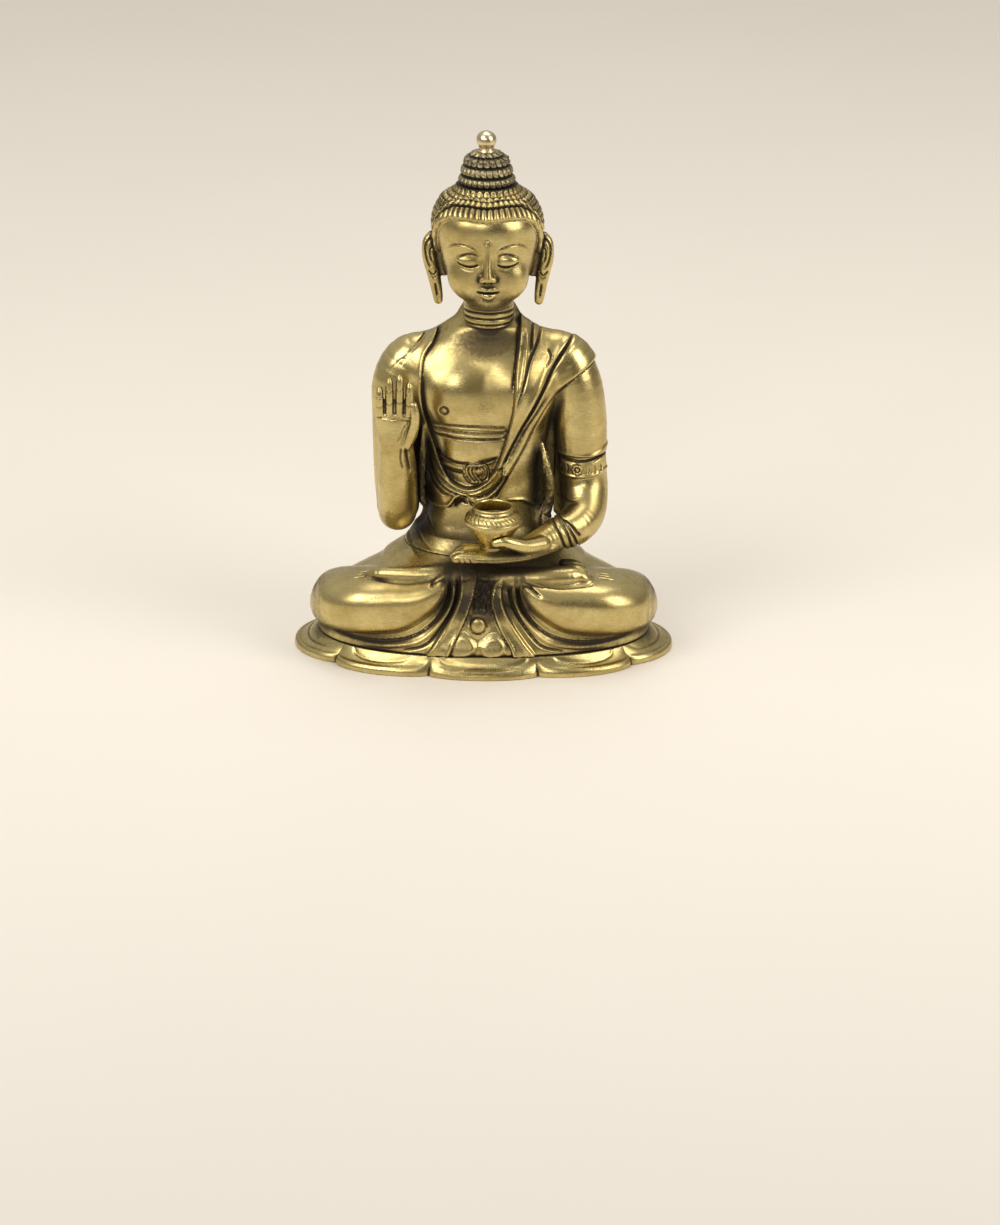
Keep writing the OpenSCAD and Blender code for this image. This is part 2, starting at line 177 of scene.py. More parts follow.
class Relief:
    """Heights drawn on a flat map in mm, which are then laid on a surface from one side."""

    STEP = 0.16

    def __init__(self, u0, u1, v0, v1):
        self.u0, self.v0 = u0, v0
        self.u = np.arange(u0, u1, self.STEP)
        self.v = np.arange(v0, v1, self.STEP)
        self.h = np.zeros((len(self.u), len(self.v)))

    def near(self, line, reach):
        far = np.full(self.h.shape, 1e3)
        share = np.zeros(self.h.shape)
        n = len(line) - 1
        for k in range(n):
            a, b = line[k], line[k + 1] - line[k]
            lo = np.minimum(line[k], line[k + 1]) - reach
            hi = np.maximum(line[k], line[k + 1]) + reach
            i0, i1 = np.searchsorted(self.u, [lo[0], hi[0]])
            j0, j1 = np.searchsorted(self.v, [lo[1], hi[1]])
            if i1 <= i0 or j1 <= j0:
                continue
            du, dv = self.u[i0:i1, None] - a[0], self.v[None, j0:j1] - a[1]
            t = np.clip((du * b[0] + dv * b[1]) / max(b @ b, 1e-9), 0, 1)
            d = np.hypot(du - t * b[0], dv - t * b[1])
            old = far[i0:i1, j0:j1]
            m = d < old
            old[m] = d[m]
            share[i0:i1, j0:j1][m] = ((k + t) / n)[m]
        return far, share

    def line(self, points, depth, width, taper=0.15, n=6):
        """A groove along a smooth line, with pointed ends. A negative depth is a ridge."""
        d, t = self.near(curve(points, n), width * 3)
        s = np.clip(np.minimum(t, 1 - t) / taper, 0, 1) ** 0.7 if taper else 1
        self.h -= depth * s * np.exp(-((d / width) ** 2))

    def patch(self, points, rise, edge=0.5, hem=0.0, smooth=True):
        """Raises what is inside a closed outline, with a rolled hem outside its edge if asked."""
        loop = curve([*points, points[0]], 5) if smooth else np.array([*points, points[0]], float)
        d = self.near(loop, 4)[0]
        inside = np.zeros(self.h.shape, bool)
        for a, b in zip(loop[:-1], loop[1:]):
            if a[1] == b[1]:
                continue
            rows = (self.v >= min(a[1], b[1])) & (self.v < max(a[1], b[1]))
            if rows.any():
                u = a[0] + (self.v[rows] - a[1]) * (b[0] - a[0]) / (b[1] - a[1])
                inside[:, rows] ^= self.u[:, None] > u[None, :]
        s = np.where(inside, -d, d)
        t = np.clip(0.5 - s / (2 * edge), 0, 1)
        self.h += rise * t * t * (3 - 2 * t)
        if hem:
            self.h += abs(hem) * np.exp(-(((s * np.sign(hem)) - 1.0) / 0.6) ** 2)

    def dot(self, u, v, rise, radius, rim=0.0):
        d = np.hypot(self.u[:, None] - u, self.v[None, :] - v)
        self.h += rise * np.sqrt(np.clip(1 - (d / radius) ** 2, 0, 1))
        if rim:
            self.h -= rim * np.exp(-(((d - radius - 0.3) / 0.35) ** 2))

    def at(self, u, v):
        fu = (u - self.u0) / self.STEP
        fv = (v - self.v0) / self.STEP
        nu, nv = self.h.shape
        ok = (fu > 0) & (fv > 0) & (fu < nu - 1.001) & (fv < nv - 1.001)
        fu, fv = np.clip(fu, 0, nu - 1.001), np.clip(fv, 0, nv - 1.001)
        i, j = fu.astype(int), fv.astype(int)
        a, b = fu - i, fv - j
        h = self.h
        z = ((h[i, j] * (1 - a) + h[i + 1, j] * a) * (1 - b)
             + (h[i, j + 1] * (1 - a) + h[i + 1, j + 1] * a) * b)
        return z * ok


def front(y, edge, soft=3.0):
    """1 in front of a plane across Y, 0 behind it."""
    return np.clip((edge - y) / soft, 0, 1)


# ---- from shapes to meshes ----------------------------------------------------------------------


def measure(shape, p, size=11.0):
    """A shape's distance at many scattered points, taken in neighbourly groups."""
    cell = np.floor((p - p.min(0)) / size).astype(np.int64)
    key = (cell[:, 0] * 4096 + cell[:, 1]) * 4096 + cell[:, 2]
    order = np.argsort(key, kind="stable")
    cuts = np.flatnonzero(np.diff(key[order])) + 1
    out = np.empty(len(p))
    for g in np.split(order, cuts):
        out[g] = shape(Spot(p[g]))
    return out


def slope(shape, p, e=0.05):
    """The distance and its gradient."""
    total, mean = np.zeros_like(p), np.zeros(len(p))
    for way in ((1, -1, -1), (-1, -1, 1), (-1, 1, -1), (1, 1, 1)):
        way = np.array(way, float)
        d = measure(shape, p + way * e)
        total += d[:, None] * way
        mean += d / 4
    return mean, total / (4 * e)


CORNERS = np.array([(i, j, k) for i in (0, 1) for j in (0, 1) for k in (0, 1)])
EDGES = [(a, b) for a in range(8) for b in range(a + 1, 8) if np.abs(CORNERS[a] - CORNERS[b]).sum() == 1]


def skin(shape, lo, hi, h, block=12):
    """Vertices, unit normals and quads of a shape's surface on a grid of cells of size h."""
    lo = np.array(lo, float) - 1.5 * h
    n = np.ceil((np.array(hi, float) + 1.5 * h - lo) / h).astype(int) + 1
    nb = -(-n // block)
    grid = np.empty(nb * block, np.float32)
    ticks = [lo[a] + h * np.arange(nb[a] * block) for a in range(3)]
    spots = np.indices(nb).reshape(3, -1).T
    centres = lo + h * (spots * block + block / 2)
    near = measure(shape, centres, 40.0)
    reach = 0.87 * block * h * 1.5 + 2.5
    for (i, j, k), d in zip(spots * block, near):
        part = grid[i : i + block, j : j + block, k : k + block]
        if abs(d) > reach:
            part[:] = d
            continue
        x, y, z = np.meshgrid(ticks[0][i : i + block], ticks[1][j : j + block], ticks[2][k : k + block],
                              indexing="ij")
        part[:] = np.broadcast_to(shape(Spot(np.stack([x.ravel(), y.ravel(), z.ravel()], 1))),
                                  block**3).reshape(part.shape)
    inside = grid < 0
    count = sum(inside[a : a - 1 or None, b : b - 1 or None, c : c - 1 or None].astype(np.int8)
                for a, b, c in CORNERS)
    cells = np.argwhere((count > 0) & (count < 8))
    index = np.full(count.shape, -1, np.int32)
    index[tuple(cells.T)] = np.arange(len(cells))
    values = np.stack([grid[tuple((cells + c).T)] for c in CORNERS], 1).astype(float)
    points, hits = np.zeros((len(cells), 3)), np.zeros(len(cells))
    for a, b in EDGES:
        va, vb = values[:, a], values[:, b]
        cross = (va < 0) != (vb < 0)
        t = np.where(cross, va / np.where(cross, va - vb, 1), 0)[:, None]
        points += cross[:, None] * (CORNERS[a] + t * (CORNERS[b] - CORNERS[a]))
        hits += cross
    points = lo + h * (cells + points / hits[:, None])
    quads = []
    for axis in range(3):
        u, v = (axis + 1) % 3, (axis + 2) % 3
        first = [slice(None)] * 3
        second = [slice(None)] * 3
        first[axis], second[axis] = slice(0, -1), slice(1, None)
        change = inside[tuple(first)] != inside[tuple(second)]
        at = np.argwhere(change)
        at = at[(at[:, u] > 0) & (at[:, v] > 0) & (at[:, u] < count.shape[u]) & (at[:, v] < count.shape[v])]
        out = inside[tuple(at.T)]
        eu, ev = np.eye(3, dtype=int)[u], np.eye(3, dtype=int)[v]
        ring = np.stack([index[tuple((at - s * eu - t * ev).T)]
                         for s, t in ((1, 1), (0, 1), (0, 0), (1, 0))], 1)
        ring[~out] = ring[~out][:, ::-1]
        quads.append(ring)
    quads = np.vstack(quads)
    quads = quads[(quads >= 0).all(1)]
    for _ in range(2):
        d, g = slope(shape, points)
        step = (d / np.maximum((g**2).sum(1), 0.25))[:, None] * g
        size = np.linalg.norm(step, axis=1, keepdims=True)
        points -= step * np.minimum(1, 0.8 * h / np.maximum(size, 1e-9))
    return points, g / np.maximum(np.linalg.norm(g, axis=1, keepdims=True), 1e-9), quads


def mesh_piece(name, points, quads, dirt, wear, node, material):
    me = bpy.data.meshes.new(name)
    me.vertices.add(len(points))
    me.vertices.foreach_set("co", (points * MM).astype(np.float32).ravel())
    me.loops.add(quads.size)
    me.loops.foreach_set("vertex_index", quads.astype(np.int32).ravel())
    me.polygons.add(len(quads))
    me.polygons.foreach_set("loop_start", np.arange(0, quads.size, 4, dtype=np.int32))
    me.update(calc_edges=True)
    me.validate()
    me.shade_smooth()
    # The first attribute holds patina in hollows together with painted shade
    for key, values in (("dirt", dirt), ("wear", wear)):
        me.attributes.new(key, "FLOAT", "POINT").data.foreach_set("value", values.astype(np.float32))
    me.materials.append(material)
    ob = bpy.data.objects.new(name, me)
    bpy.context.scene.collection.objects.link(ob)
    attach(ob, "root")
    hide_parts(node)


# ---- the body -----------------------------------------------------------------------------------

# heights where the castings meet, and the plane where the right forearm leaves its sleeve
WAIST, COLLAR, HEM, BASE_TOP = 44.0, 136.0, 83.0, 8.0
ELBOW_Y = -1.0
ARM_X, ARM_MID, ARM_HALF = -26.5, 63, 12           # right forearm's room: inner side, middle, half height
SLEEVE_X, SLEEVE_MID, SLEEVE_HALF = 28.5, 66.5, 16.5     # the same for the left one
BARE_OUTLINE = [(-12.3, 146), (-15, 141), (-17.8, 136.2), (-21, 130), (-24.6, 124), (-25.6, 114.5),
                (-24.9, 104.3), (-22.5, 95), (-19.7, 86.5), (-16.8, 78.8), (-13.2, 73.3), (-7.9, 70.8),
                (-2.7, 71.7), (1.4, 75.1), (4.6, 80.7), (7.2, 88), (9.7, 97), (11.4, 105.5), (11.8, 113),
                (12.3, 121.5), (13.4, 132), (13, 140), (11.6, 147)]
FOLD_MAIN = [(35.7, 131.9), (31, 126.4), (27.1, 120.5), (23.2, 112.9), (20, 106.9), (16.1, 99.7),
             (11.7, 91.1), (9, 85.5), (7.4, 81.7)]
FOLD_OUT = [(45.5, 121.8), (43.1, 120.8), (38, 117.8), (32.8, 114), (28, 109.7), (24.1, 105), (20.1, 97.3),
            (16.2, 89.6), (12.2, 82.3), (9.4, 76.7)]
ROBE_HEM = [(-30, 65), (-26.1, 63.6), (-24, 61.9), (-19.2, 61.1), (-14.7, 61.5), (-13.1, 63.3),
            (-11.5, 65.9), (-9.5, 67.2), (-7.5, 67.2), (-5.8, 65.5), (-2.6, 63.3), (2.3, 63.4), (6.3, 64.3),
            (9.5, 65.2), (15, 64.5), (21, 61.5), (26, 58), (33, 54)]

torso_loft = Loft([
    (38, 0, 5, 38, 27, 2.1), (41, 0, 6, 33.5, 24.5, 2.1), (44, 0, 6, 31, 23, 2.1), (49, 0, 7, 28, 21, 2.1),
    (55, 0, 7.5, 25.6, 19.3, 2.1), (63, 0, 8, 24.3, 18.6, 2.15), (72, 0, 8, 24.2, 18.6, 2.2),
    (82, 0, 8, 24.6, 18.8, 2.25), (92, 0, 8, 26, 19.6, 2.3), (102, 0, 8, 28.5, 20.6, 2.3),
    (111, 0, 8, 33, 20, 2.25), (118, 0, 8, 35.8, 18.4, 2.2), (124, 0.3, 8, 34, 16.6, 2.1),
    (129, 0.8, 7.8, 28.4, 14.6, 2.05), (133, 1.2, 7.5, 22, 13, 2), (136, 1.2, 7.5, 17.2, 12, 2),
    (138.5, 1.2, 8.6, 13.6, 10.6, 2), (142, 1.2, 10.5, 11.2, 8.4, 2), (146, 1.2, 12, 8.5, 5.5, 2)])
web = Loft([(57, 0, 9.5, 26, 3, 3), (61, 0, 9.5, 30, 4, 3), (64, -1, 9.5, 33.5, 5, 3),
            (72, -1, 9.5, 34.5, 6, 3), (90, -1, 9, 35, 6.5, 3), (112, -1, 9, 34, 7, 3)])
chest = [Egg((-13, -4.5, 109), (12, 7.5, 12)), Egg((13, -4.5, 109), (12, 7.5, 12)),
         Egg((0, -3, 86), (17, 9.5, 13))]
right_upper = Limb([(-20, 8, 124.5, 6), (-30, 7.8, 120.5, 9.6), (-34.8, 7, 111, 10.6), (-35.6, 6, 97, 10),
                    (-35.8, 5.4, 80, 9.4), (-35.6, 5, 68, 9), (-35.3, 4, 60.5, 8.2)])
right_fore = Limb([(-35.3, 1, 59, 7.4), (-35.3, -5, 59.2, 7.7), (-35.1, -10, 64.5, 8), (-35, -14, 74, 7.9),
                   (-35.1, -17.8, 84, 7.5), (-35.6, -20.6, 92, 6.9), (-36, -22.8, 98, 5.6),
                   (-36, -24.5, 104, 3.4)])
left_upper = Limb([(20, 8, 125.5, 6.5), (30.5, 7.8, 121.5, 10), (35.4, 7, 112, 11.2), (38.3, 6, 98, 10.9),
                   (39.3, 5, 83, 10.3), (39.8, 4.5, 76, 9.8)])
side_strip = Limb([(23, -4, 88, 0.9), (24.6, -5.4, 81, 1.5), (26, -6, 76, 1.8), (26.6, -6, 70, 1.9),
                   (26, -6.6, 63, 1.9), (24.6, -7.6, 57.8, 1.7), (23.4, -8.6, 52, 1.2)])
side_edge = Limb([(-24.4, -2, 95, 0.7), (-24.9, -3.5, 88, 1.1), (-25.2, -4, 80, 1.2), (-25.9, -4, 71, 1.3),
                  (-25.4, -4.5, 61.5, 1.2)])

robe = Relief(-52, 52, 38, 150)
robe.patch(BARE_OUTLINE, -1.6, 0.55, hem=0.2)
robe.patch([(14.5, 148), (13.6, 132), (12.5, 121.5), (12, 113), (11.7, 105.5), (9.9, 97), (7.3, 88),
            (4.8, 80.7), *FOLD_MAIN[::-1], (40, 137), (30, 148)], 1.0, 0.6)
robe.patch([*FOLD_MAIN[::-1], (41, 135), (50, 128), *FOLD_OUT, (7, 78)], 1.5, 0.45, smooth=False)
# folds that run from the left shoulder down to the waist
robe.line(FOLD_MAIN, 1.5, 0.6, 0.1)
robe.line([(26, 112.4), (21.2, 105.1), (16.5, 97.5), (12.2, 89.3), (9.4, 83.3)], 0.9, 0.55)
robe.line(FOLD_OUT, 0.55, 0.6, 0.05)
robe.line([(12.4, 145), (13.7, 137.7), (13, 129.3), (11.9, 120.9), (11.1, 112.4)], 0.7, 0.45)
robe.line([(19.3, 139.8), (18.5, 133.5), (18.2, 127.2)], 0.8, 0.45)
robe.line([(23.3, 138.6), (21, 131.5), (17.8, 124.7), (15.9, 117.5), (13.6, 109.5), (11.6, 103)], 1.0, 0.5,
          0.3)
robe.line([(16.8, 140), (16.4, 130), (15, 119), (13.2, 108)], -0.5, 0.8, 0.3)
robe.line([(29, 130), (24, 120), (19.5, 110), (15, 100), (10, 88)], -0.5, 1.3, 0.25)
robe.line([(25, 128.2), (26.2, 125.7), (25.5, 123.2), (24.3, 121.5)], 0.7, 0.4)
# edge of the robe over the right shoulder
robe.line([(-17.5, 137.6), (-24.6, 131), (-31.5, 124.4), (-38, 117.4)], 1.0, 0.5, 0.2)
# band under the chest
robe.line([(-21.7, 97.4), (-12, 97.8), (-2, 97.8), (8.9, 97.4)], 0.35, 0.4, 0.05)
robe.line([(-21.7, 96.3), (-12, 96.7), (-2, 96.7), (9.2, 96.3)], -0.55, 0.6, 0.05)
robe.line([(-21.3, 94.9), (-12, 94.9), (-2, 94.9), (8.6, 95)], 0.4, 0.35, 0.05)
robe.line([(-21.1, 93.7), (-12, 93.6), (-2, 93.6), (8.3, 93.7)], -0.5, 0.55, 0.05)
robe.line([(-20.9, 92.5), (-12, 92.2), (-2, 92.2), (7.5, 92.5)], 0.55, 0.4, 0.05)
# belt and its buckle
robe.line([(-19.4, 86.2), (-16.8, 83.2), (-12, 81.8), (-5.9, 81.8), (0.1, 82.9), (5.6, 84.6)], 1.3, 0.6,
          0.06)
robe.patch([(-19, 83), (-12, 80.8), (-5, 80.8), (1, 81.6), (5, 83), (4, 77), (0, 73.6), (-5, 70.6),
            (-10, 71.5), (-15, 75.5)], -0.9, 0.6)
robe.line([(-17.3, 80), (-13, 79.4), (-8.5, 79.2)], -0.8, 0.8, 0.05)
robe.line([(-16, 77.6), (-12, 77), (-8, 76.9)], 0.6, 0.4)
robe.patch([(-8.8, 79), (-6, 82.2), (-1.5, 82.6), (2, 80), (2.4, 77), (-0.5, 73.6), (-5, 72.6), (-8, 75.4)],
           1.1, 0.7)
for u in (-8.2, -6.6, -5.0, -3.4):
    robe.line([(u + 0.8, 81.6), (u, 78.5), (u + 1.4, 75.5), (u + 3.2, 73.4)], 0.55, 0.3, 0.1)
for r in (2.6, 4.0, 5.2):
    robe.line([(-2.2 + r * math.sin(a) * 0.85, 78 + r * math.cos(a)) for a in np.linspace(0.2, 2.9, 7)],
              0.55, 0.3)
robe.dot(-2.4, 78.2, 0.5, 1.6, 0.4)
# hem at the waist, and the folds above it
robe.patch([*ROBE_HEM, (36, 46), (20, 36), (-20, 36), (-36, 50)], -2.0, 0.5, hem=0.5, smooth=False)
robe.line([(-12.6, 62), (-10.6, 64.4), (-8.4, 65), (-6.6, 63.6)], 1.6, 0.8, 0.2)
robe.line([(-9.3, 68), (-7.6, 66.4), (-5.8, 64.4), (-4.2, 62.8)], 0.8, 0.4)
for depth, points in (
        (0.4, [(-21.2, 79.5), (-18, 74.4), (-13.1, 71), (-8.7, 69.3), (-3.8, 69.8), (1.4, 73.3),
               (4.2, 77.6), (6.6, 82.7)]),
        (0.9, [(-22.6, 78.5), (-19.6, 72.8), (-15, 69.3), (-9, 67.9), (-3, 68.3), (2.8, 71.6),
               (5.8, 76.4)]),
        (0.8, [(-23.6, 75.5), (-20.8, 70.6), (-16.8, 67.6), (-13.1, 67)]),
        (0.9, [(7.4, 77.2), (6.2, 74.2), (3, 70.3), (-0.6, 67.7), (-5.4, 66.8)]),
        (1.1, [(10.2, 78.9), (8.2, 74.6), (5.9, 70.3), (3.9, 66.4)])):
    robe.line(points, depth, 0.5)
robe.line([(8.6, 80), (7.3, 75), (4.6, 70.5), (0.5, 66.9)], -0.9, 0.9)
robe.line([(-20.6, 77), (-17, 71.8), (-12, 69.2), (-6, 68.2), (0, 69.8), (4.6, 74), (7, 80)], -0.9, 0.75)
robe.line([(-22, 81), (-18.8, 76), (-14, 72.4), (-8.6, 70.6), (-3.2, 71.2), (1.6, 74.6), (4.8, 79),
           (7.6, 86)], -0.9, 0.8)
robe.line([(-24.4, 72), (-21, 67.6), (-16, 65)], -0.6, 1.0)
# nipple, then creases of the skirt
robe.dot(-16.5, 104.3, 0.7, 1.3, 0.45)
robe.line([(-28, 49.4), (-21.9, 45.1), (-13.8, 42)], 0.8, 0.5)
robe.line([(-24, 56), (-20, 50), (-14, 45)], 0.35, 0.5)
robe.line([(-31, 56), (-27, 50), (-24, 45.5)], 0.3, 0.5)

back = Relief(-52, 52, 38, 150)
for points in (
        [(36, 127), (20, 112), (0, 97), (-24, 86)], [(31, 133), (14, 118), (-6, 106), (-27, 99)],
        [(40, 116), (26, 100), (8, 84), (-18, 70)], [(38, 100), (26, 86), (12, 72), (-6, 60)],
        [(22, 136), (6, 126), (-12, 119), (-30, 116)], [(28, 78), (20, 66), (10, 56), (0, 48)]):
    back.line(points, 0.9, 0.6, 0.2)
    back.line([(u + 1.4, v + 1.6) for u, v in points], -0.5, 0.9, 0.2)
back.patch([(-30, 63), (-20, 61.5), (-8, 60.5), (4, 61), (16, 62), (30, 64), (40, 50), (30, 36), (-30, 36),
            (-40, 50)], -1.4, 0.5, hem=0.5, smooth=False)
for u in (-22, -12, -3, 8, 18):
    back.line([(u, 59), (u * 1.15, 52), (u * 1.4, 45)], 0.45, 0.6)

# the rough robe that hangs beside the chest
for k in range(90):
    v = 52 + 34 * ((k * 0.618) % 1)
    robe.dot(25.4 + 1.8 * math.sin(k * 2.1), v, 0.22 + 0.15 * math.sin(k * 1.3), 0.9)
    robe.dot(-25 + 1.3 * math.sin(k * 1.9), 60 + 26 * ((k * 0.382) % 1), 0.2, 0.8)

sleeve = Relief(20, 56, 60, 130)
sleeve.line([(26, 86.5), (28.4, 84.4), (31.5, 82.9), (36, 82.6), (41, 82.8), (46, 84), (50.5, 86.4)], -0.5,
            0.8, 0)

lap_loft = Loft([(7, 0, 0, 67.5, 35.6, 2.25), (10, 0, 0, 68, 35.2, 2.25), (14, 0, 0, 68, 34, 2.25),
                 (20, 0, 0.5, 67.5, 33, 2.25), (25, 0, 1, 63.5, 32.5, 2.2), (30, 0, 1.5, 55, 31.5, 2.15),
                 (34, 0, 2, 47, 30.5, 2.1), (38, 0, 3.5, 39.5, 28, 2.1), (42, 0, 5, 33.5, 25, 2.1),
                 (45, 0, 6, 30.5, 22.8, 2.1), (49, 0, 7, 27.5, 20.8, 2.1)])
SHIN = [(13.5, -25, 36, 2.2, 2, 2), (16.5, -24.2, 34.2, 8, 4.8, 2.2), (22, -22.6, 30.6, 12, 8, 2.4),
        (30, -20.6, 27, 14.6, 10.6, 2.6), (38, -18.6, 25.6, 16, 11.8, 2.7),
        (50, -15.4, 24.8, 17.8, 11.6, 2.7), (59, -11.5, 23.7, 17.6, 10.8, 2.6),
        (65.5, -8.5, 22.3, 14.5, 9.3, 2.4), (69.3, -6.5, 20.8, 9, 6, 2.2), (71, -6, 20, 3, 2.4, 2)]
shins = [Loft([(side * x, cy, cz, ry, rz, p) for x, cy, cz, ry, rz, p in SHIN], axis=0) for side in (-1, 1)]
foot_left = Limb([(-46, -19.5, 37.2, 1.8), (-41, -21.8, 38, 3.2), (-29, -23.6, 38.4, 3.9),
                  (-17, -23, 38.6, 4.2), (-6, -20, 37.6, 4)])
foot_right = Limb([(2, -21, 36.2, 3), (9, -24, 37.4, 4.4), (22, -25, 38, 4.8), (33, -24, 38.2, 4.6),
                   (39, -22.4, 38, 3.8)])
toes = [Limb([(35, -23.6, 39, 2.6), (39.5, -24.2, 38.2, 2.5), (42, -23.6, 36.4, 2.1)]),
        Limb([(34, -21.5, 41, 2), (38, -22, 41, 1.7), (41.2, -21.5, 39.4, 1.4)]),
        Limb([(33, -19.5, 41.8, 1.9), (37, -19.8, 42, 1.5), (40.2, -19.2, 40.8, 1.2)]),
        Limb([(32, -17.6, 42, 1.7), (35.8, -17.6, 42.3, 1.3), (38.6, -17, 41.4, 1.1)])]

hems = Relief(-76, 76, 4, 50)
for side in (-1, 1):
    hems.line([(side * x, z) for x, z in ((14.4, 41), (13.8, 34), (15, 28.4), (18.6, 22.7), (24, 17.6),
                                          (30, 14.4), (38, 12.4), (50, 11.6), (62, 12.8))], 1.0, 0.6, 0.08)
    hems.line([(side * x, z) for x, z in ((12.6, 41), (12, 34.5), (13.2, 28.6), (16.8, 22.2), (22, 16.2),
                                          (28, 12.6), (38, 10.6), (50, 9.8))], -1.1, 0.9, 0.1)
    hems.line([(side * x, z) for x, z in ((10.8, 41.6), (10.2, 35.2), (11.4, 28.9), (14.9, 21.9),
                                          (20, 14.9), (24.6, 11.2), (33, 8.8))], 0.9, 0.5, 0.08)
hems.patch([(-10, 43), (-9.5, 34.8), (-11.5, 27.5), (-15.5, 19.6), (-19.9, 12.7), (-24, 6), (-15.5, 6),
            (-11.8, 13.6), (-8.2, 20.6), (-5.5, 27.5), (-3.5, 34), (-3.1, 41.4)], 1.5, 0.4, hem=-0.35)
hems.patch([(8.6, 40), (7.4, 34), (8.4, 28), (12, 20.6), (16.5, 14), (22, 6), (13.5, 6), (10.6, 12),
            (7, 18), (4.4, 24.4), (2.8, 30.6), (4.2, 37)], 1.4, 0.4, hem=-0.35)
hems.patch([(-3, 38), (-3.6, 33), (-5.2, 27.5), (-2.5, 25.6), (1.5, 25.6), (4, 26), (2.6, 31), (3.6, 37),
            (0.5, 37)], -1.5, 2.2)
for k in range(60):
    u, v = 3.4 * math.sin(k * 2.4), 32 + 6 * math.sin(k * 1.7 + 0.4)
    hems.dot(u, v, 0.35 + 0.2 * math.sin(k), 0.9)
# bud and petals between the two robe ends
hems.dot(-2.2, 20.6, 1.5, 3.2, 0.3)
hems.patch([(-4.5, 23.6), (-1.5, 25), (1.2, 22.8), (2, 19.5), (-0.6, 16.4), (-4, 16), (-6.4, 19)], 0.7, 1.2)
hems.patch([(-13, 13), (-9.5, 16.4), (-5.5, 15.6), (-3, 11.5), (-6, 8), (-12, 7)], 1.3, 1.5)
hems.patch([(-1.2, 12), (1.5, 15.4), (5.5, 16), (8.8, 12.6), (7, 8), (1, 7)], 1.3, 1.5)
hems.line([(14.6, 38.7), (18.6, 36.5), (23.1, 33.1)], 0.9, 0.5)
hems.line([(14.2, 40), (19, 38.4), (24.5, 36.6)], 0.6, 0.4)
hems.line([(-14.4, 41), (-18.8, 38.6), (-21.6, 36)], 0.9, 0.5)

thighs = Relief(-72, 72, -36, 34)
for side in (-1, 1):
    for dy in (0, 2.6, 5):
        thighs.line([(side * 45, -20 + dy), (side * 49, -20.6 + dy), (side * (53 - dy * 0.5), -20 + dy)],
                    0.8, 0.4, 0.4)
thighs.line([(5, -29.4), (20, -30.4), (34, -29.6), (44, -26.6)], 0.9, 0.5)
thighs.line([(-5, -27), (-20, -28.6), (-36, -27.4), (-46, -22.6)], 0.9, 0.5)


def body(q):
    """Torso, upper arms and legs as one skin, which the castings share."""
    torso = torso_loft(q)
    for egg in chest:
        torso = smin(torso, egg(q), 7)
    torso = smin(torso, web(q), 2.5)
    torso = smin(torso, side_strip(q), 3)
    torso = smin(torso, side_edge(q), 2.6)
    if q.hi[2] > 40:
        f = front(q.y, 10, 4)
        fade = np.clip((q.z - 41.5) / 4, 0, 1)
        torso = torso - (robe.at(q.x, q.z) * f + back.at(q.x, q.z) * front(-q.y, -10)) * fade
    arms = smin(right_upper(q), left_upper(q) - sleeve.at(q.x, q.z), 1)
    if q.hi[2] > 96:
        arms = arms - robe.at(q.x, q.z) * front(q.y, 11, 4) * np.clip((q.z - 98) / 4, 0, 1)
    upper = smin(torso, arms, 3.2)
    if q.lo[2] > 60:
        return upper
    lap = lap_loft(q)
    for shin in shins:
        lap = smin(lap, shin(q), 2.5)
    lap = lap - hems.at(q.x, q.z) * front(q.y, -14)
    lap = lap - thighs.at(q.x, q.y) * np.clip((q.z - 26) / 4, 0, 1)
    lap = smin(lap, foot_left(q), 1.6)
    foot = foot_right(q)
    for toe in toes:
        foot = smin(foot, toe(q), 0.5)
    lap = smin(lap, foot, 1.2)
    return smin(upper, lap, 5)


def elbow(q):
    return smin(right_upper(q), right_fore(q), 4)


lap_hollow = Loft([(5, 0, 2, 62, 28, 2.2), (14, 0, 2, 63, 27, 2.2), (22, 0, 3, 60, 25.5, 2.2),
                   (28, 0, 4, 49, 23.5, 2.2), (33, 0, 5, 37, 20, 2.1), (39, 0, 6, 27, 17, 2.1)])


def sleeve_end(q):
    """Room for the left forearm, inside its sleeve."""
    return np.maximum(SLEEVE_X - q.x, np.abs(q.z - SLEEVE_MID) - SLEEVE_HALF)


def torso_piece(q):
    d = smin(body(q), smax(elbow(q), ELBOW_Y - q.y, 0.4), 0.8)
    fore = np.maximum(np.maximum(q.y - ELBOW_Y, np.abs(q.z - ARM_MID) - ARM_HALF), q.x - ARM_X)
    d = smax(d, -fore, 0.3)
    d = smax(d, -sleeve_end(q), 0.6)
    return smax(d, WAIST - q.z, 0.2)


def lap_piece(q):
    d = smax(body(q), q.z - WAIST, 0.2)
    d = smax(d, BASE_TOP - q.z, 0.2)
    return smax(d, -lap_hollow(q), 0.5)


# ---- arms, hands --------------------------------------------------------------------------------

palm_right = Loft([(92.4, -38.2, -24.4, 1.6, 2.4, 2), (94, -38, -24.8, 3, 3.4, 2.1),
                   (97, -37.4, -25, 4.9, 3.9, 2.3), (101, -36.6, -25.2, 6.1, 3.7, 2.5),
                   (105, -36.2, -25.8, 6.8, 3.1, 2.6), (107.2, -36.1, -26.2, 6.9, 2.5, 2.6),
                   (108.6, -36.1, -26.6, 6.5, 1.5, 2.4)])
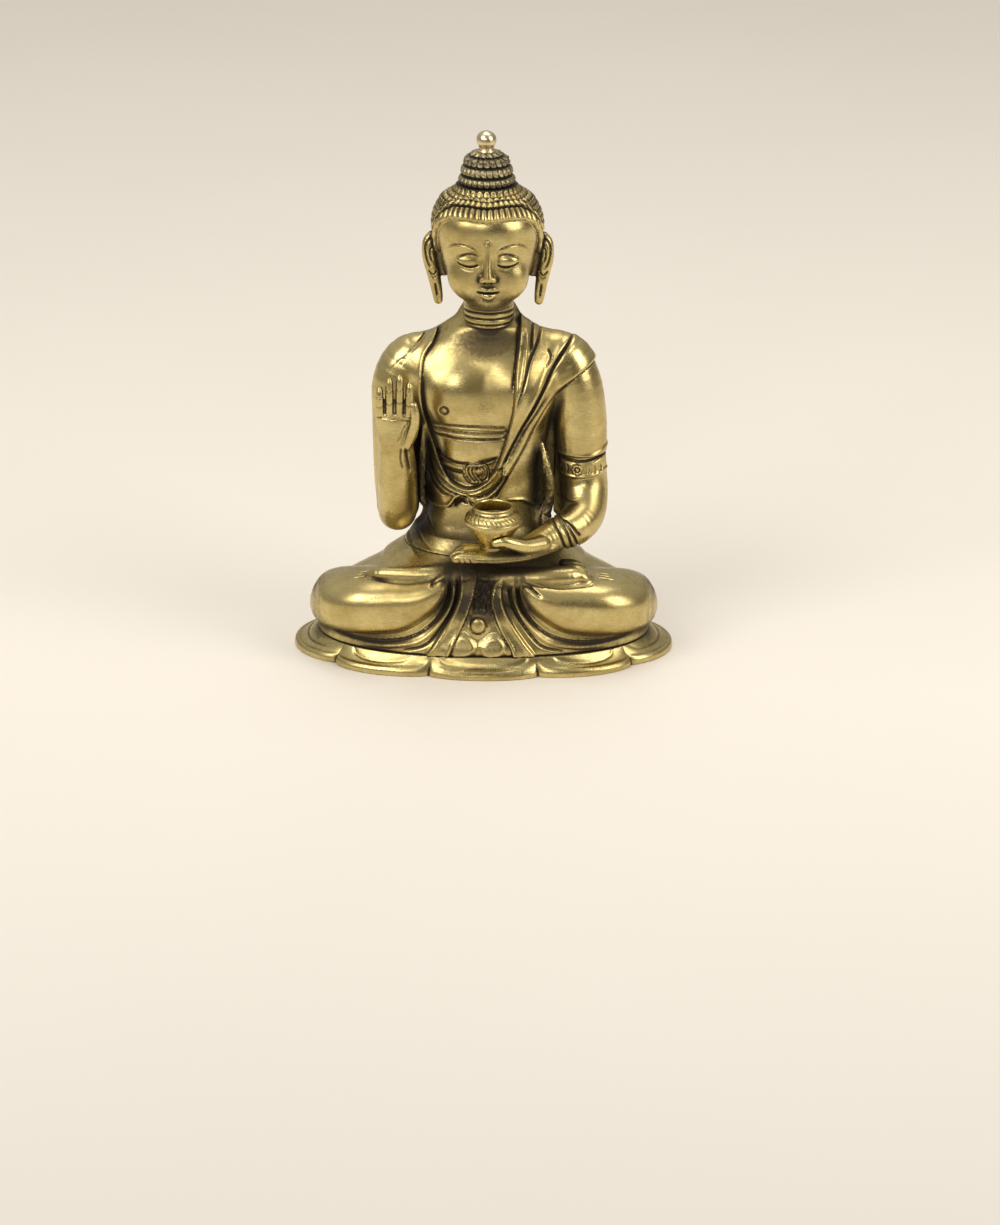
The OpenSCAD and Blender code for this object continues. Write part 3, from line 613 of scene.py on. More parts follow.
# across at the root, across at the tip, and the tip's height, from the little finger on
FINGERS_RIGHT = [(-41.7, -41.9, 120.0), (-38.0, -38.0, 123.6), (-34.0, -33.9, 124.9), (-30.3, -30.1, 121.8)]
fingers_right = [
    Limb([(x, -25.8, 104, 1.8), (x, -26.9, 108.5, 1.74), (tip, -27.5, (z + 108) / 2, 1.7),
          (tip, -27.5, z - 3, 1.5), (tip, -27.3, z - 1.2, 1.15)])
    for x, tip, z in FINGERS_RIGHT]
thumb_right = Limb([(-31.5, -25.6, 95, 2.6), (-29.4, -26.6, 99.5, 2.4), (-28, -27.8, 104.5, 2),
                    (-27.9, -28.4, 109, 1.85), (-28.3, -28.4, 112.4, 1.5)])
hand_lines = Relief(-46, -24, 78, 128)
for x, tip, z in FINGERS_RIGHT:
    for share in (0.0, 0.36, 0.68):
        v = 107.6 + (z - 107.6) * share
        hand_lines.line([(x - 1.6, v - 0.1), (x, v - 0.4), (x + 1.6, v - 0.1)], 0.22, 0.24, 0.05)
hand_lines.line([(-43, 107.1), (-38, 106.9), (-33, 106.8), (-29.5, 105.5)], 0.4, 0.35, 0.1)
hand_lines.line([(-31.2, 104.6), (-33, 101), (-35.2, 97.4)], 0.4, 0.5)
hand_lines.line([(-31.6, 95.4), (-31.2, 89), (-29.8, 82)], 0.7, 0.5)
hand_lines.line([(-33.4, 94.4), (-33.6, 89), (-32.6, 84)], 0.4, 0.4)
finger_web = Loft([(103, -36, -25.4, 6.6, 1.6, 3), (108, -36, -26.2, 6.7, 1.4, 3),
                   (112, -36, -26.6, 6.4, 1.2, 3), (114.4, -36, -26.7, 5.6, 0.9, 2.5)])


def right_hand(q):
    d = smin(elbow(q), palm_right(q), 2.2)
    d = smin(d, finger_web(q), 0.6)
    for finger in fingers_right:
        d = smin(d, finger(q), 0.35)
    d = smin(d, thumb_right(q), 0.9)
    return d - hand_lines.at(q.x, q.z) * front(q.y, -21, 2.5)


def right_piece(q):
    return smax(right_hand(q), q.y - ELBOW_Y, 0.4)


left_fore = Limb([(39.3, 5, 86, 9.6), (40, 4.4, 76, 9.5), (41, 2, 67, 9.2), (40.4, -4.5, 59.5, 8.8),
                  (36.5, -11.5, 56, 8.1), (30.5, -17, 54.8, 7), (24.5, -21.6, 53.2, 5.8),
                  (19, -25, 51.6, 4.8), (14, -27, 50.3, 4)])
palm_left = Limb([(24, -23.6, 51.2, 5.4), (15, -27.4, 50.2, 7), (5, -29, 49.9, 7.7), (-3, -29.3, 49.9, 7.3),
                  (-6, -29.3, 49.9, 6)], flat=0.38)
fingers_left = [
    Limb([(-1, y + 0.3, 50, 2.0), (-5, y, 50.1, 2.1), (tip + 3, y - 0.1, 50.1, 2.0),
          (tip + 1.4, y - 0.1, 49.8, 1.7)])
    for y, tip in ((-34.6, -12.6), (-30.9, -13.4), (-27.3, -12.8), (-23.9, -11.2))]
thumb_left = Limb([(23, -27, 53.4, 3.6), (17, -32, 54.4, 3), (12, -35.4, 56.6, 2.5),
                   (7.8, -36.8, 58.2, 2.2), (4.8, -37, 57.6, 1.8)])
arm_lines = Relief(-16, 54, 44, 92)
# armlet
arm_lines.line([(26, 85.5), (28.4, 83.2), (31.5, 81.6), (36, 80.9), (41, 81.2), (46, 82.6), (50.5, 85.6)],
               1.0, 0.5, 0)
arm_lines.patch([(26, 83.5), (29, 81.6), (33.7, 79.9), (39, 79.6), (44, 80.4), (50.5, 83), (50, 76.2),
                 (45.5, 74.9), (38.6, 74), (32.6, 73.9), (27, 74.8)], 0.55, 0.4)
arm_lines.line([(26.5, 75.6), (32.6, 74.7), (38.6, 74.8), (45.5, 75.7), (50, 77)], -0.45, 0.5, 0)
arm_lines.dot(37.4, 77.6, 0.9, 0.9)
for k in range(8):
    a = k * math.pi / 4
    arm_lines.dot(37.4 + 1.7 * math.cos(a), 77.6 + 1.7 * math.sin(a), 0.7, 0.72)
for u in (28.8, 31, 33.2, 41.8, 44.2, 46.6):
    arm_lines.line([(u, 75.6), (u + 0.6, 77.5), (u, 79.6)], 0.4, 0.3)
arm_lines.line([(28, 82), (30.5, 79.5), (29, 76.5)], 0.9, 0.5)
# creases of the elbow and bracelets
arm_lines.line([(27.4, 64), (32.7, 64.5), (37.5, 65.4)], 0.6, 0.4)
for points in ([(24.5, 62.6), (27.8, 60.5), (30.7, 56.2), (32.4, 50.6), (32.8, 47.1)],
               [(25.7, 63.2), (29.8, 61.5), (33.1, 57.5), (34.8, 51.9), (35.2, 48)],
               [(28.6, 62.6), (32.7, 60.1), (36, 55.2), (37.7, 49.8), (38.1, 47.3)],
               [(31.9, 61.2), (34.7, 59.4), (37.6, 56.2), (38.9, 54.3)]):
    arm_lines.line(points, 0.85, 0.42)
for k in range(3):
    arm_lines.line([(-10.4 + 2.2 * k, 50.6), (-9.6 + 2.2 * k, 49), (-10.8 + 2.2 * k, 47)], 0.4, 0.28, 0.05)


def left_hand(q):
    d = smin(left_fore(q), palm_left(q), 2.4)
    for finger in fingers_left:
        d = smin(d, finger(q), 0.4)
    d = smin(d, thumb_left(q), 1.0)
    return d - arm_lines.at(q.x, q.z) * front(q.y, 5, 4)


robe_by_arm = Loft([(54, 31, 7, 1.5, 1.5, 2), (57, 30.4, 7.6, 3.4, 2.6, 2.2), (62, 30.2, 8.5, 4.6, 3, 2.5),
                    (72, 31, 8.5, 5, 3.2, 3), (84, 31, 8.5, 5, 3.4, 3)])


def left_piece(q):
    d = smin(left_hand(q), smax(robe_by_arm(q), 28.2 - q.x, 0.4), 0.8)
    d = smax(d, q.z - HEM, 0.3)
    well = np.hypot(q.x - 3.2, q.y + 28.5) - (4.4 + np.maximum(q.z - 52.4, 0) * 0.7)
    return smax(d, -np.maximum(well, 52.2 - q.z), 0.3)


# ---- head ---------------------------------------------------------------------------------------

HEAD_Y, CROWN = 5.0, 194.6
skull = Loft([(146.6, 0, -3.6, 3.5, 4, 2), (148.2, 0, -3, 8, 8.6, 2), (151, 0, -1, 11.8, 12.6, 2.05),
              (155, 0, 1, 14.8, 15.8, 2.1), (160, 0, 3, 17.2, 18.2, 2.15), (166, 0, 4.4, 19, 20, 2.2),
              (172, 0, 5, 20.2, 20.8, 2.2), (178, 0, 5, 20.8, 21, 2.15), (182, 0, 5, 20.3, 20.5, 2.1),
              (185.4, 0, 5, 18.9, 19.1, 2), (188.6, 0, 5, 16.5, 16.7, 2), (190.8, 0, 5, 13.6, 13.6, 2),
              (192.8, 0, 5, 11.3, 11.3, 2), (195, 0, 5, 10.2, 10.2, 2)])
neck = Limb([(0, 8, 128, 6.5), (0, 7, 134, 9.4), (0, 6.4, 138, 9.9), (0, 5.8, 142, 9.8), (0, 5, 150, 10.4)])
cheeks = [Egg((side * 8.6, -8.6, 159), (6.6, 5.4, 6.6)) for side in (-1, 1)]
chin = Egg((0, -10.6, 150.4), (4.6, 3.4, 3.2))
nose = Limb([(0, -12.8, 179, 1.6), (0, -14.5, 174.5, 1.3), (0, -15.3, 170, 1.2), (0, -16.0, 165.5, 1.5),
             (0, -16.5, 161.6, 1.95)])
nostrils = [Egg((side * 2.1, -15.6, 160.7), (1.5, 1.9, 1.35)) for side in (-1, 1)]
sockets = [Egg((side * 7.3, -17.3, 168.9), (5.4, 3.4, 3.4)) for side in (-1, 1)]
lids = [Egg((side * 7.5, -12.3, 167.9), (4.9, 2.7, 2.9)) for side in (-1, 1)]
upper_lip = Limb([(-4.6, -13.0, 155.9, 0.7), (-2.2, -14.6, 156.6, 1.25), (0, -15, 156.3, 1.15),
                  (2.2, -14.6, 156.6, 1.25), (4.6, -13.0, 155.9, 0.7)])
lower_lip = Limb([(-3.8, -13.0, 154.5, 0.7), (0, -14.6, 153.6, 1.6), (3.8, -13.0, 154.5, 0.7)])
ears = [Limb([(side * 22.4, 6.6, 172.4, 1.9), (side * 23.3, 6, 169.4, 2.9), (side * 23.2, 5.6, 164, 3.1),
              (side * 22.2, 5.5, 158.5, 2.8), (side * 21.2, 5.6, 153, 2.4), (side * 20.5, 5.8, 148.4, 2.1),
              (side * 20.2, 6, 145.8, 1.8)], flat=0.85, across=(0, 1, 0)) for side in (-1, 1)]
ear_roots = [
    Limb([(side * 18, 7, 170, 3), (side * 18.5, 7, 164, 3.2), (side * 17.6, 7, 158, 2.4)])
    for side in (-1, 1)]


def mirrored(side, points):
    return [(side * u, v) for u, v in points]


features = Relief(-28, 28, 132, 196)
for side in (-1, 1):
    features.line(mirrored(side, [(2.8, 171.4), (5.5, 173.4), (9.5, 174.6), (13.5, 174), (16.4, 172)]),
                  0.45, 0.35, 0.25)
    features.line(mirrored(side, [(2.9, 170.8), (5.6, 172.6), (9.6, 173.8), (13.6, 173.1)]),
                  -0.25, 0.7, 0.25)
    features.line(mirrored(side, [(3.2, 166.9), (5.4, 165.9), (8, 165.7), (10.6, 166.4), (12.2, 167.4)]),
                  0.75, 0.33, 0.15)
    features.line(mirrored(side, [(3.4, 169.6), (6, 170.7), (8.6, 170.7), (11.6, 169.4)]), 0.4, 0.32, 0.2)
    features.line(mirrored(side, [(3.6, 165.2), (7.4, 164.3), (11, 165.4)]), 0.2, 0.4, 0.3)
    features.dot(side * 1.35, 159.6, -0.5, 0.5)
    features.line(mirrored(side, [(3.3, 162.4), (3.9, 160.6), (3.4, 159.3)]), 0.3, 0.35, 0.3)
    features.line(mirrored(side, [(21.8, 171.8), (23.6, 171.2), (24.9, 168.8), (24.7, 165), (23.6, 161.4),
                                  (22.4, 160)]), 0.75, 0.38, 0.1)
    features.line(mirrored(side, [(21.3, 168.6), (22.8, 167.6), (22.9, 164.8), (22, 162.6)]), 0.6, 0.36,
                  0.15)
    features.line(mirrored(side, [(20.4, 158.6), (22, 157), (24, 158.9)]), 0.65, 0.36, 0.1)
    features.line(mirrored(side, [(20.6, 156.4), (21.7, 155.6), (23.2, 156.6)]), 0.5, 0.3, 0.1)
    features.line(mirrored(side, [(21.3, 153.6), (20.9, 150.5), (20.5, 147.6)]), 1.0, 0.42, 0.15)
features.line([(-4.8, 155.5), (-2.4, 155.1), (0, 155.3), (2.4, 155.1), (4.8, 155.5)], 0.7, 0.33, 0.15)
features.line([(0, 158.9), (0, 157.4)], 0.3, 0.5, 0)
features.line([(-2.4, 152), (0, 151.8), (2.4, 152)], 0.25, 0.6)
features.dot(0, 176.3, 0.45, 0.75, 0.25)
RINGS = (137.4, 140.0, 142.6)

HAIRLINE = np.array([(0, 48.6), (25, 47.4), (45, 48.6), (58, 54), (68, 63), (76, 74), (84, 86), (95, 96),
                     (105, 108), (125, 119), (180, 123)], float)
SCALP_Z, SCALP_R = 166, 27.5        # centre and reach of the ball that curls are laid out on
CURL_ROW, FIRST_ROW = 5.0, 25       # degrees between rows, and where they are counted from
CURL_R, CURL_PITCH = 1.36, 2.5
FRINGE, SECOND = 4.8, 8.1           # mm up from the hairline to the end of the fringe and of the big curls
ARC = math.pi / 180 * SCALP_R       # mm along the scalp for each degree from the crown


def upright(q):
    """The head leans a little: its own axis is made upright."""
    p = q.p.copy()
    p[:, 0] -= 1.2 - 0.02 * (p[:, 2] - 140)
    return Spot(p)


def hair(q):
    """How far the hair stands out of the scalp."""
    dx, dy, dz = q.x, q.y - HEAD_Y, q.z - SCALP_Z
    r = np.hypot(dx, dy)
    tilt = np.degrees(np.arctan2(r, dz))
    turn = np.arctan2(dx, -dy)
    line = np.interp(np.degrees(np.abs(turn)), HAIRLINE[:, 0], HAIRLINE[:, 1])
    up = (line - tilt) * ARC
    cover = np.clip(up / 0.5 + 0.5, 0, 1)
    flutes = 0.65 * np.abs(np.sin(turn * 25.1)) ** 0.7 + 0.2 - 0.25 * ((up - 2.3) / 2.3) ** 2
    row = np.round((tilt - FIRST_ROW) / CURL_ROW)
    around = SCALP_R * np.sin(np.radians(np.maximum(FIRST_ROW + row * CURL_ROW, 15)))
    count = np.maximum(np.round(2 * np.pi * around / CURL_PITCH), 6)
    place = turn * count / (2 * np.pi) + 0.5 * (row % 2)
    du = (place - np.round(place)) * 2 * np.pi / count * around
    dv = (tilt - FIRST_ROW - row * CURL_ROW) * ARC
    d = np.hypot(du, dv)
    swirl = 0.14 * np.cos(np.arctan2(dv, du) + d * 5.6) * (d < 1.1)
    curl = np.sqrt(np.clip(1 - (d / CURL_R) ** 2, 0, 1)) - swirl
    big = np.hypot(np.abs((turn * 22 / 3.1) % 1 - 0.5) * 3.1, (up - 6.5) * 0.95)
    first = 1.15 * np.sqrt(np.clip(1 - (big / 1.7) ** 2, 0, 1))
    height = np.where(up < FRINGE, flutes + 0.3, np.where(up < SECOND, first, curl) + 0.1)
    height = height - 0.75 * np.exp(-(((up - FRINGE) / 0.4) ** 2))
    return cover * (0.75 + height)


def head(q):
    q = upright(q)
    d = skull(q)
    if q.hi[2] > 145:
        for cheek in cheeks:
            d = smin(d, cheek(q), 5)
        d = smin(d, chin(q), 2.5)
        for socket in sockets:
            d = smax(d, -socket(q), 1.6)
        for lid in lids:
            d = smin(d, lid(q), 0.5)
        d = smin(d, nose(q), 1.3)
        for nostril in nostrils:
            d = smin(d, nostril(q), 1.3)
        d = smin(d, upper_lip(q), 0.5)
        d = smin(d, lower_lip(q), 0.5)
        d = d - hair(q)
    n = neck(q)
    for z in RINGS:
        groove = 0.75 * np.exp(-(((q.z - z + (q.y - 6) * 0.06) / 0.38) ** 2))
        roll = 0.25 * np.exp(-(((q.z - z - 1.2) / 0.9) ** 2))
        n = n + groove - roll
    d = smin(d, n, 2.2)
    for ear, root in zip(ears, ear_roots):
        d = smin(d, smin(ear(q), root(q), 1.2), 0.7)
    return d - features.at(q.x, q.z) * front(q.y, 7.5, 2)


def head_piece(q):
    d = smax(head(q), COLLAR + 0.5 - q.z, 0.3)
    return smax(d, q.z - CROWN, 0.3)


def whole(q):
    d = np.minimum(smax(body(q), -sleeve_end(q), 0.6), elbow(q))
    d = np.minimum(d, right_hand(q))
    d = np.minimum(d, left_hand(q))
    return np.minimum(np.minimum(d, head(q)), plate(q))


# ---- base ---------------------------------------------------------------------------------------

PLATE_X, PLATE_Y = 76.5, 42.0      # half sizes the petals' angles are counted on
RIM = 1.2                          # the rolled rim beyond them
NOTCH = 4.2                        # how deep the rim dips between two petals
RIM_TOP, LAP_FLOOR = 2.4, 8.0      # heights of the rim and of the flat under the legs
ROUND = 2.15                       # power of the plate's outline: 2 is an ellipse
SCREW_HOLE = 1.7
SCREWS = ((-46.5, -4), (46.5, -4), (-24, 23), (24, 23))


def outline(q, a, b, power):
    """How far outside a rounded outline of half sizes a and b a point is."""
    rho = ((np.abs(q.x) / a) ** power + (np.abs(q.y) / b) ** power) ** (1 / power)
    return np.hypot(q.x, q.y) * (1 - 1 / np.maximum(rho, 0.05))


def petal_rim(turn):
    """Share of the way through a petal, for an angle round the base in degrees."""
    half = (turn + 36 + 360) % 180     # a side petal is 72 degrees wide, then come three of 36
    return np.where(half < 72, half / 72, ((half - 72) / 36) % 1)


plate_lines = Relief(-80, 80, -46, 46)
for side in (-1, 1):
    for face in (-1, 1):
        for t0, t1 in ((38.5, 69.5), (74.5, 105.5)):
            if t0 > 70 and side > 0:
                continue
            for share, depth in ((0.93, 0.55), (0.86, 0.3)):
                points = []
                for t in np.linspace(t0, t1, 9):
                    k = math.sin(math.pi * (t - t0) / (t1 - t0)) ** 0.5
                    s = share - 0.09 * (1 - k)
                    a = math.radians(t)
                    across = math.copysign(abs(math.cos(a)) ** 0.9, math.cos(a))
                    points.append((side * PLATE_X * s * across, face * PLATE_Y * s * math.sin(a) ** 0.9))
                plate_lines.line(points, depth, 0.5, 0.1)
    points = []
    for t in np.linspace(-34, 34, 11):
        s = 0.94 - 0.07 * (1 - math.cos(math.radians(t * 90 / 34)) ** 0.5)
        a = math.radians(t)
        points.append((side * PLATE_X * s * math.cos(a) ** 0.9,
                       math.copysign(PLATE_Y * s * abs(math.sin(a)) ** 0.9, a)))
    plate_lines.line(points, 0.55, 0.5, 0.1)
for k in range(-16, 17):
    u = k * 0.95
    plate_lines.line([(u - 0.3, -42), (u, -40.2), (u + 0.2, -38.8)], 0.35, 0.26, 0.1)


def plate(q):
    g = q.gap(np.array([-78, -42.5, 0]), np.array([78, 42.5, 9.0]))
    if g > PAD:
        return g
    turn = np.degrees(np.arctan2(q.y / PLATE_Y, q.x / PLATE_X))
    notch = NOTCH * (1 - np.abs(np.sin(np.pi * petal_rim(turn))) ** 0.5)
    out = outline(q, PLATE_X + RIM - notch, PLATE_Y + RIM / 4 - notch, ROUND)
    legs = np.maximum(outline(q, 67.6, 36.8, 2.25), 0)
    swell = np.clip(-out / (legs - out + 0.01), 0, 1)
    bead = 0.5 * np.exp(-((out + 1.2) / 0.8) ** 2)
    top = RIM_TOP + (LAP_FLOOR - RIM_TOP) * swell**1.5 + bead
    top = np.minimum(top, LAP_FLOOR) + plate_lines.at(q.x, q.y) * (swell < 0.98)
    d = smax(out, (q.z - top) * 0.85, 1.0)
    d = smax(d, -q.z, 0.5)
    under = np.maximum(outline(q, 67, 35, 2.2), q.z - 5)
    return smax(d, -under, 0.6)


def base_piece(q):
    d = smax(plate(q), -outline(q, 42, 21, 2.4), 0.5)
    for x, y in SCREWS:
        d = np.maximum(d, SCREW_HOLE - np.hypot(q.x - x, q.y - y))
    return smax(d, q.z - BASE_TOP, 0.2)


# ---- topknot, finial and bowl -------------------------------------------------------------------

knot = Loft([(189, 0, HEAD_Y, 10.8, 10.8, 2), (193, 0, HEAD_Y, 10.4, 10.4, 2),
             (196.6, 0, HEAD_Y, 10.6, 10.6, 2), (198.7, 0, HEAD_Y, 10, 10, 2), (202.7, 0, HEAD_Y, 9, 9, 2),
             (205.4, 0, HEAD_Y, 7.2, 7.2, 2), (207.2, 0, HEAD_Y, 4.6, 4.6, 2),
             (207.9, 0, HEAD_Y, 2.8, 2.8, 2)])
TIERS = [(196.6, 10.8), (200.7, 9.9), (204.4, 8.0), (206.6, 5.0)]
TIER_GROOVES = (194.6, 198.7, 202.7, 206.0)


def topknot(q):
    q = upright(q)
    r = np.hypot(q.x, q.y - HEAD_Y)
    turn = np.arctan2(q.x, HEAD_Y - q.y)
    raised = np.zeros(len(r))
    for k, (z, radius) in enumerate(TIERS):
        count = round(2 * math.pi * radius / 2.4)
        place = turn * count / (2 * math.pi) + 0.5 * (k % 2)
        side = (place - np.round(place)) * 2 * math.pi / count * radius
        dz = q.z - z + side * 0.35
        d = np.hypot(side, dz * 0.8)
        swirl = 0.12 * np.cos(np.arctan2(dz, side) + d * 5) * (d < 1.2)
        raised += 0.75 * np.sqrt(np.clip(1 - (d / 1.5) ** 2, 0, 1)) - swirl
    for z in TIER_GROOVES:
        raised -= 0.9 * np.exp(-(((q.z - z) / 0.42) ** 2))
    return smax(knot(q) - raised * np.clip((r - 2.5) / 2, 0, 1), 189 - q.z, 0.3)


def turned(profile, cy=0.0, cx=0.0, n=6):
    """A turned solid from (radius, height) points."""
    c = curve(profile, n)

    def shape(q):
        r, z = np.hypot(q.x - cx, q.y - cy), q.z
        best = np.full(len(r), 1e9)
        inside = np.zeros(len(r), bool)
        for (r0, z0), (r1, z1) in zip(c, np.vstack([c[1:], c[:1]])):
            dr, dz = r1 - r0, z1 - z0
            t = np.clip(((r - r0) * dr + (z - z0) * dz) / max(dr * dr + dz * dz, 1e-9), 0, 1)
            if not (r0 < 1e-6 and r1 < 1e-6):
                best = np.minimum(best, np.hypot(r - r0 - t * dr, z - z0 - t * dz))
            if z0 != z1:
                cross = (z >= min(z0, z1)) & (z < max(z0, z1))
                inside ^= cross & (r < r0 + (z - z0) * dr / dz)
        return np.where(inside, -best, best)
    return shape


finial_body = turned([(0, 207.6), (3.4, 207.7), (3.3, 208.4), (2.9, 209), (2.9, 209.4), (3.3, 209.9),
                      (3.9, 211.2), (4.0, 212.3), (3.75, 213.6), (2.9, 214.9), (1.5, 215.7), (0.6, 216),
                      (0, 216)], HEAD_Y)
BOWL_X, BOWL_Y = 3.5, -28.5
bowl_body = turned([(0, 52.2), (4.2, 52.2), (4.7, 52.7), (4.6, 53.6), (5.6, 55.2), (7.8, 58), (9.8, 60.8),
                    (11.1, 62.8), (11.6, 64.2), (11.3, 65.5), (10.2, 67), (8.9, 68.2), (8.2, 68.8),
                    (7.9, 69.3), (8.1, 69.9), (8.1, 70.3), (7.6, 70.5), (7.2, 70.2), (7.1, 69.4),
                    (7.6, 68.4), (9, 66.6), (9.7, 64.6), (9.0, 62), (6.6, 58.6), (4, 56.8), (0, 56.4)],
                   BOWL_Y, BOWL_X)


def bowl(q):
    d = bowl_body(q)
    turn = np.arctan2(q.x - BOWL_X, BOWL_Y - q.y)
    out = np.hypot(q.x - BOWL_X, q.y - BOWL_Y) > 8.3
    band = np.exp(-(((q.z - 66.7) / 1.05) ** 4))
    cord = 0.28 * np.abs(np.sin(turn * 15 + (q.z - 66.7) * 0.9)) ** 0.5 * band
    lines = 0.35 * np.exp(-(((q.z - 65.2) / 0.28) ** 2)) + 0.4 * np.exp(-(((q.z - 68.3) / 0.3) ** 2))
    return d + (lines - cord + 0.12) * out * (q.z > 64)


# ---- materials ----------------------------------------------------------------------------------


class Look:
    """A node material under construction."""

    def __init__(self, name):
        self.m = bpy.data.materials.new(name)
        self.m.use_nodes = True
        self.tree = self.m.node_tree
        self.tree.nodes.clear()
        self.out = self.node("ShaderNodeOutputMaterial")
        self.shader = self.node("ShaderNodeBsdfPrincipled")
        self.tree.links.new(self.shader.outputs[0], self.out.inputs[0])
        self.where = self.node("ShaderNodeTexCoord").outputs["Object"]

    def node(self, kind, **settings):
        n = self.tree.nodes.new(kind)
        for key, value in settings.items():
            setattr(n, key, value)
        return n

    def join(self, source, socket):
        if isinstance(source, bpy.types.NodeSocket):
            self.tree.links.new(source, socket)
        else:
            socket.default_value = source

    def noise(self, scale, detail=3.0, rough=0.6, stretch=None):
        n = self.node("ShaderNodeTexNoise")
        n.inputs["Scale"].default_value = scale
        n.inputs["Detail"].default_value = detail
        n.inputs["Roughness"].default_value = rough
        where = self.where
        if stretch:
            m = self.node("ShaderNodeMapping")
            m.inputs["Scale"].default_value = stretch
            self.join(where, m.inputs["Vector"])
            where = m.outputs[0]
        self.join(where, n.inputs["Vector"])
        return n.outputs["Fac"]

    def maths(self, kind, a, b):
        n = self.node("ShaderNodeMath", operation=kind)
        self.join(a, n.inputs[0])
        self.join(b, n.inputs[1])
        return n.outputs[0]

    def span(self, value, a, b, to_a=0.0, to_b=1.0):
        n = self.node("ShaderNodeMapRange")
        n.clamp = True
        for socket, v in zip(n.inputs, (value, a, b, to_a, to_b)):
            self.join(v, socket)
        return n.outputs[0]

    def mix(self, share, a, b):
        n = self.node("ShaderNodeMix", data_type="RGBA")
        self.join(share, n.inputs["Factor"])
        sockets = [s for s in n.inputs if s.type == "RGBA"]
        self.join(a, sockets[0])
        self.join(b, sockets[1])
        return [s for s in n.outputs if s.type == "RGBA"][0]

    def attribute(self, name):
        return self.node("ShaderNodeAttribute", attribute_name=name).outputs["Fac"]

    def bump(self, height, strength, distance):
        n = self.node("ShaderNodeBump")
        n.inputs["Strength"].default_value = strength
        n.inputs["Distance"].default_value = distance
        self.join(height, n.inputs["Height"])
        self.join(n.outputs[0], self.shader.inputs["Normal"])


def metal(name, bright, mid, dark, polish=0.24, age=1.0, painted=True):
    k = Look(name)
    cloud = k.noise(70, 4, 0.65)
    speck = k.noise(800, 5, 0.7)
    streak = k.noise(1.0, 3, 0.6, stretch=(420, 420, 2600))
    tone = k.span(k.maths("ADD", cloud, k.maths("MULTIPLY", streak, 0.45)), 0.52, 0.92)
    colour = k.mix(tone, mid, bright)
    if painted:
        worn = k.maths("MULTIPLY", k.attribute("wear"), 0.75)
        colour = k.mix(worn, colour, tuple(min(1, c * 1.12) for c in bright[:3]) + (1,))
        # The darkening read here is partly patina in hollows and partly painted shade under and between
        # parts
        deep = k.maths("ADD", k.attribute("dirt"),
                       k.maths("MULTIPLY", k.maths("SUBTRACT", speck, 0.5), 0.35))
        deep = k.span(deep, 0.14, 0.62, 0, age)
    else:
        deep = k.span(k.maths("ADD", speck, cloud), 1.0, 1.35, 0, age * 0.6)
    colour = k.mix(k.span(deep, 0, 0.5), colour, k.mix(0.36, dark, mid))
    colour = k.mix(k.span(deep, 0.4, 1), colour, dark)
    k.join(colour, k.shader.inputs["Base Color"])
    k.join(k.span(deep, 0, 1, 1.0, 0.45), k.shader.inputs["Metallic"])
    rough = k.maths("ADD", k.span(tone, 0, 1, polish + 0.12, polish), k.maths("MULTIPLY", deep, 0.3))
    k.join(k.maths("ADD", rough, k.maths("MULTIPLY", k.maths("SUBTRACT", speck, 0.5), 0.16)),
           k.shader.inputs["Roughness"])
    relief = k.maths("ADD", k.maths("MULTIPLY", speck, 0.6), k.maths("MULTIPLY", streak, 0.5))
    k.bump(relief, 0.35, 0.00012)
    return k.m


brass = metal("cast_brass", (0.66, 0.55, 0.25, 1), (0.44, 0.33, 0.118, 1), (0.04, 0.028, 0.014, 1))
dull = metal("aged_brass", (0.50, 0.42, 0.23, 1), (0.33, 0.27, 0.14, 1), (0.03, 0.027, 0.02, 1), 0.32, 1.0)
pale = metal("pale_brass", (0.80, 0.69, 0.46, 1), (0.64, 0.53, 0.32, 1), (0.14, 0.10, 0.05, 1), 0.2, 0.7)
turned_steel = metal("screw_steel", (0.62, 0.61, 0.58, 1), (0.46, 0.45, 0.43, 1), (0.1, 0.09, 0.08, 1),
                     0.28, 0.7, painted=False)
plain_brass = metal("worn_brass", (0.8, 0.61, 0.26, 1), (0.62, 0.44, 0.15, 1), (0.12, 0.08, 0.03, 1), 0.3,
                    0.8, painted=False)


# ---- pieces -------------------------------------------------------------------------------------

# middle, reach and strength of each patch of painted shade, in mm; they darken where shadow falls, as under
# the left hand and below the thighs, and where the metal faces away from the lights
SHADE_PATCHES = [((26, -7, 67), (5, 9, 17), 0.34), ((-26, -6, 74), (4, 9, 20), 0.34),
          ((0, -28, 43), (20, 9, 6), 0.4), ((-8, -14, 53), (24, 12, 10), 0.28),
          ((17, -10, 76), (9, 12, 18), 0.2), ((0, -32, 31), (7, 6, 12), 0.2),
          ((0, 5, 190), (23, 23, 9), 0.24), ((-16, -10, 78), (8, 9, 9), 0.14),
          ((30, -22, 49), (12, 12, 7), 0.16), ((0, 3, 147), (11, 12, 4), 0.12),
          ((0, 30, 42), (30, 12, 6), 0.14), ((0, -34, 12), (26, 8, 8), 0.12),
          ((0, -19, 43), (46, 9, 5), 0.2), ((-45, -26, 12), (26, 10, 5), 0.32),
          ((45, -26, 12), (26, 10, 5), 0.32), ((-36, -12, 62), (9, 12, 14), 0.22),
          ((-2, -14, 88), (16, 8, 6), 0.14)]
PATINA_SHADE_REACHES, PATINA_SHADE_SHARE = (0.6, 1.6, 4.0, 8.0), 0.3     # mm off the surface where nearby shapes are felt for: patina in hollows, and painted shade under and between parts
RIDGE = 0.7                                              # mm under the surface where wear is felt for


def painted_shade(points):
    """Painted shade: darker patches where shadow falls and where the metal faces dark surroundings."""
    patch_shade = np.zeros(len(points))
    for middle, reach, strength in SHADE_PATCHES:
        d = ((points - middle) / reach) ** 2
        patch_shade += strength * np.exp(-1.2 * d.sum(1))
    return patch_shade


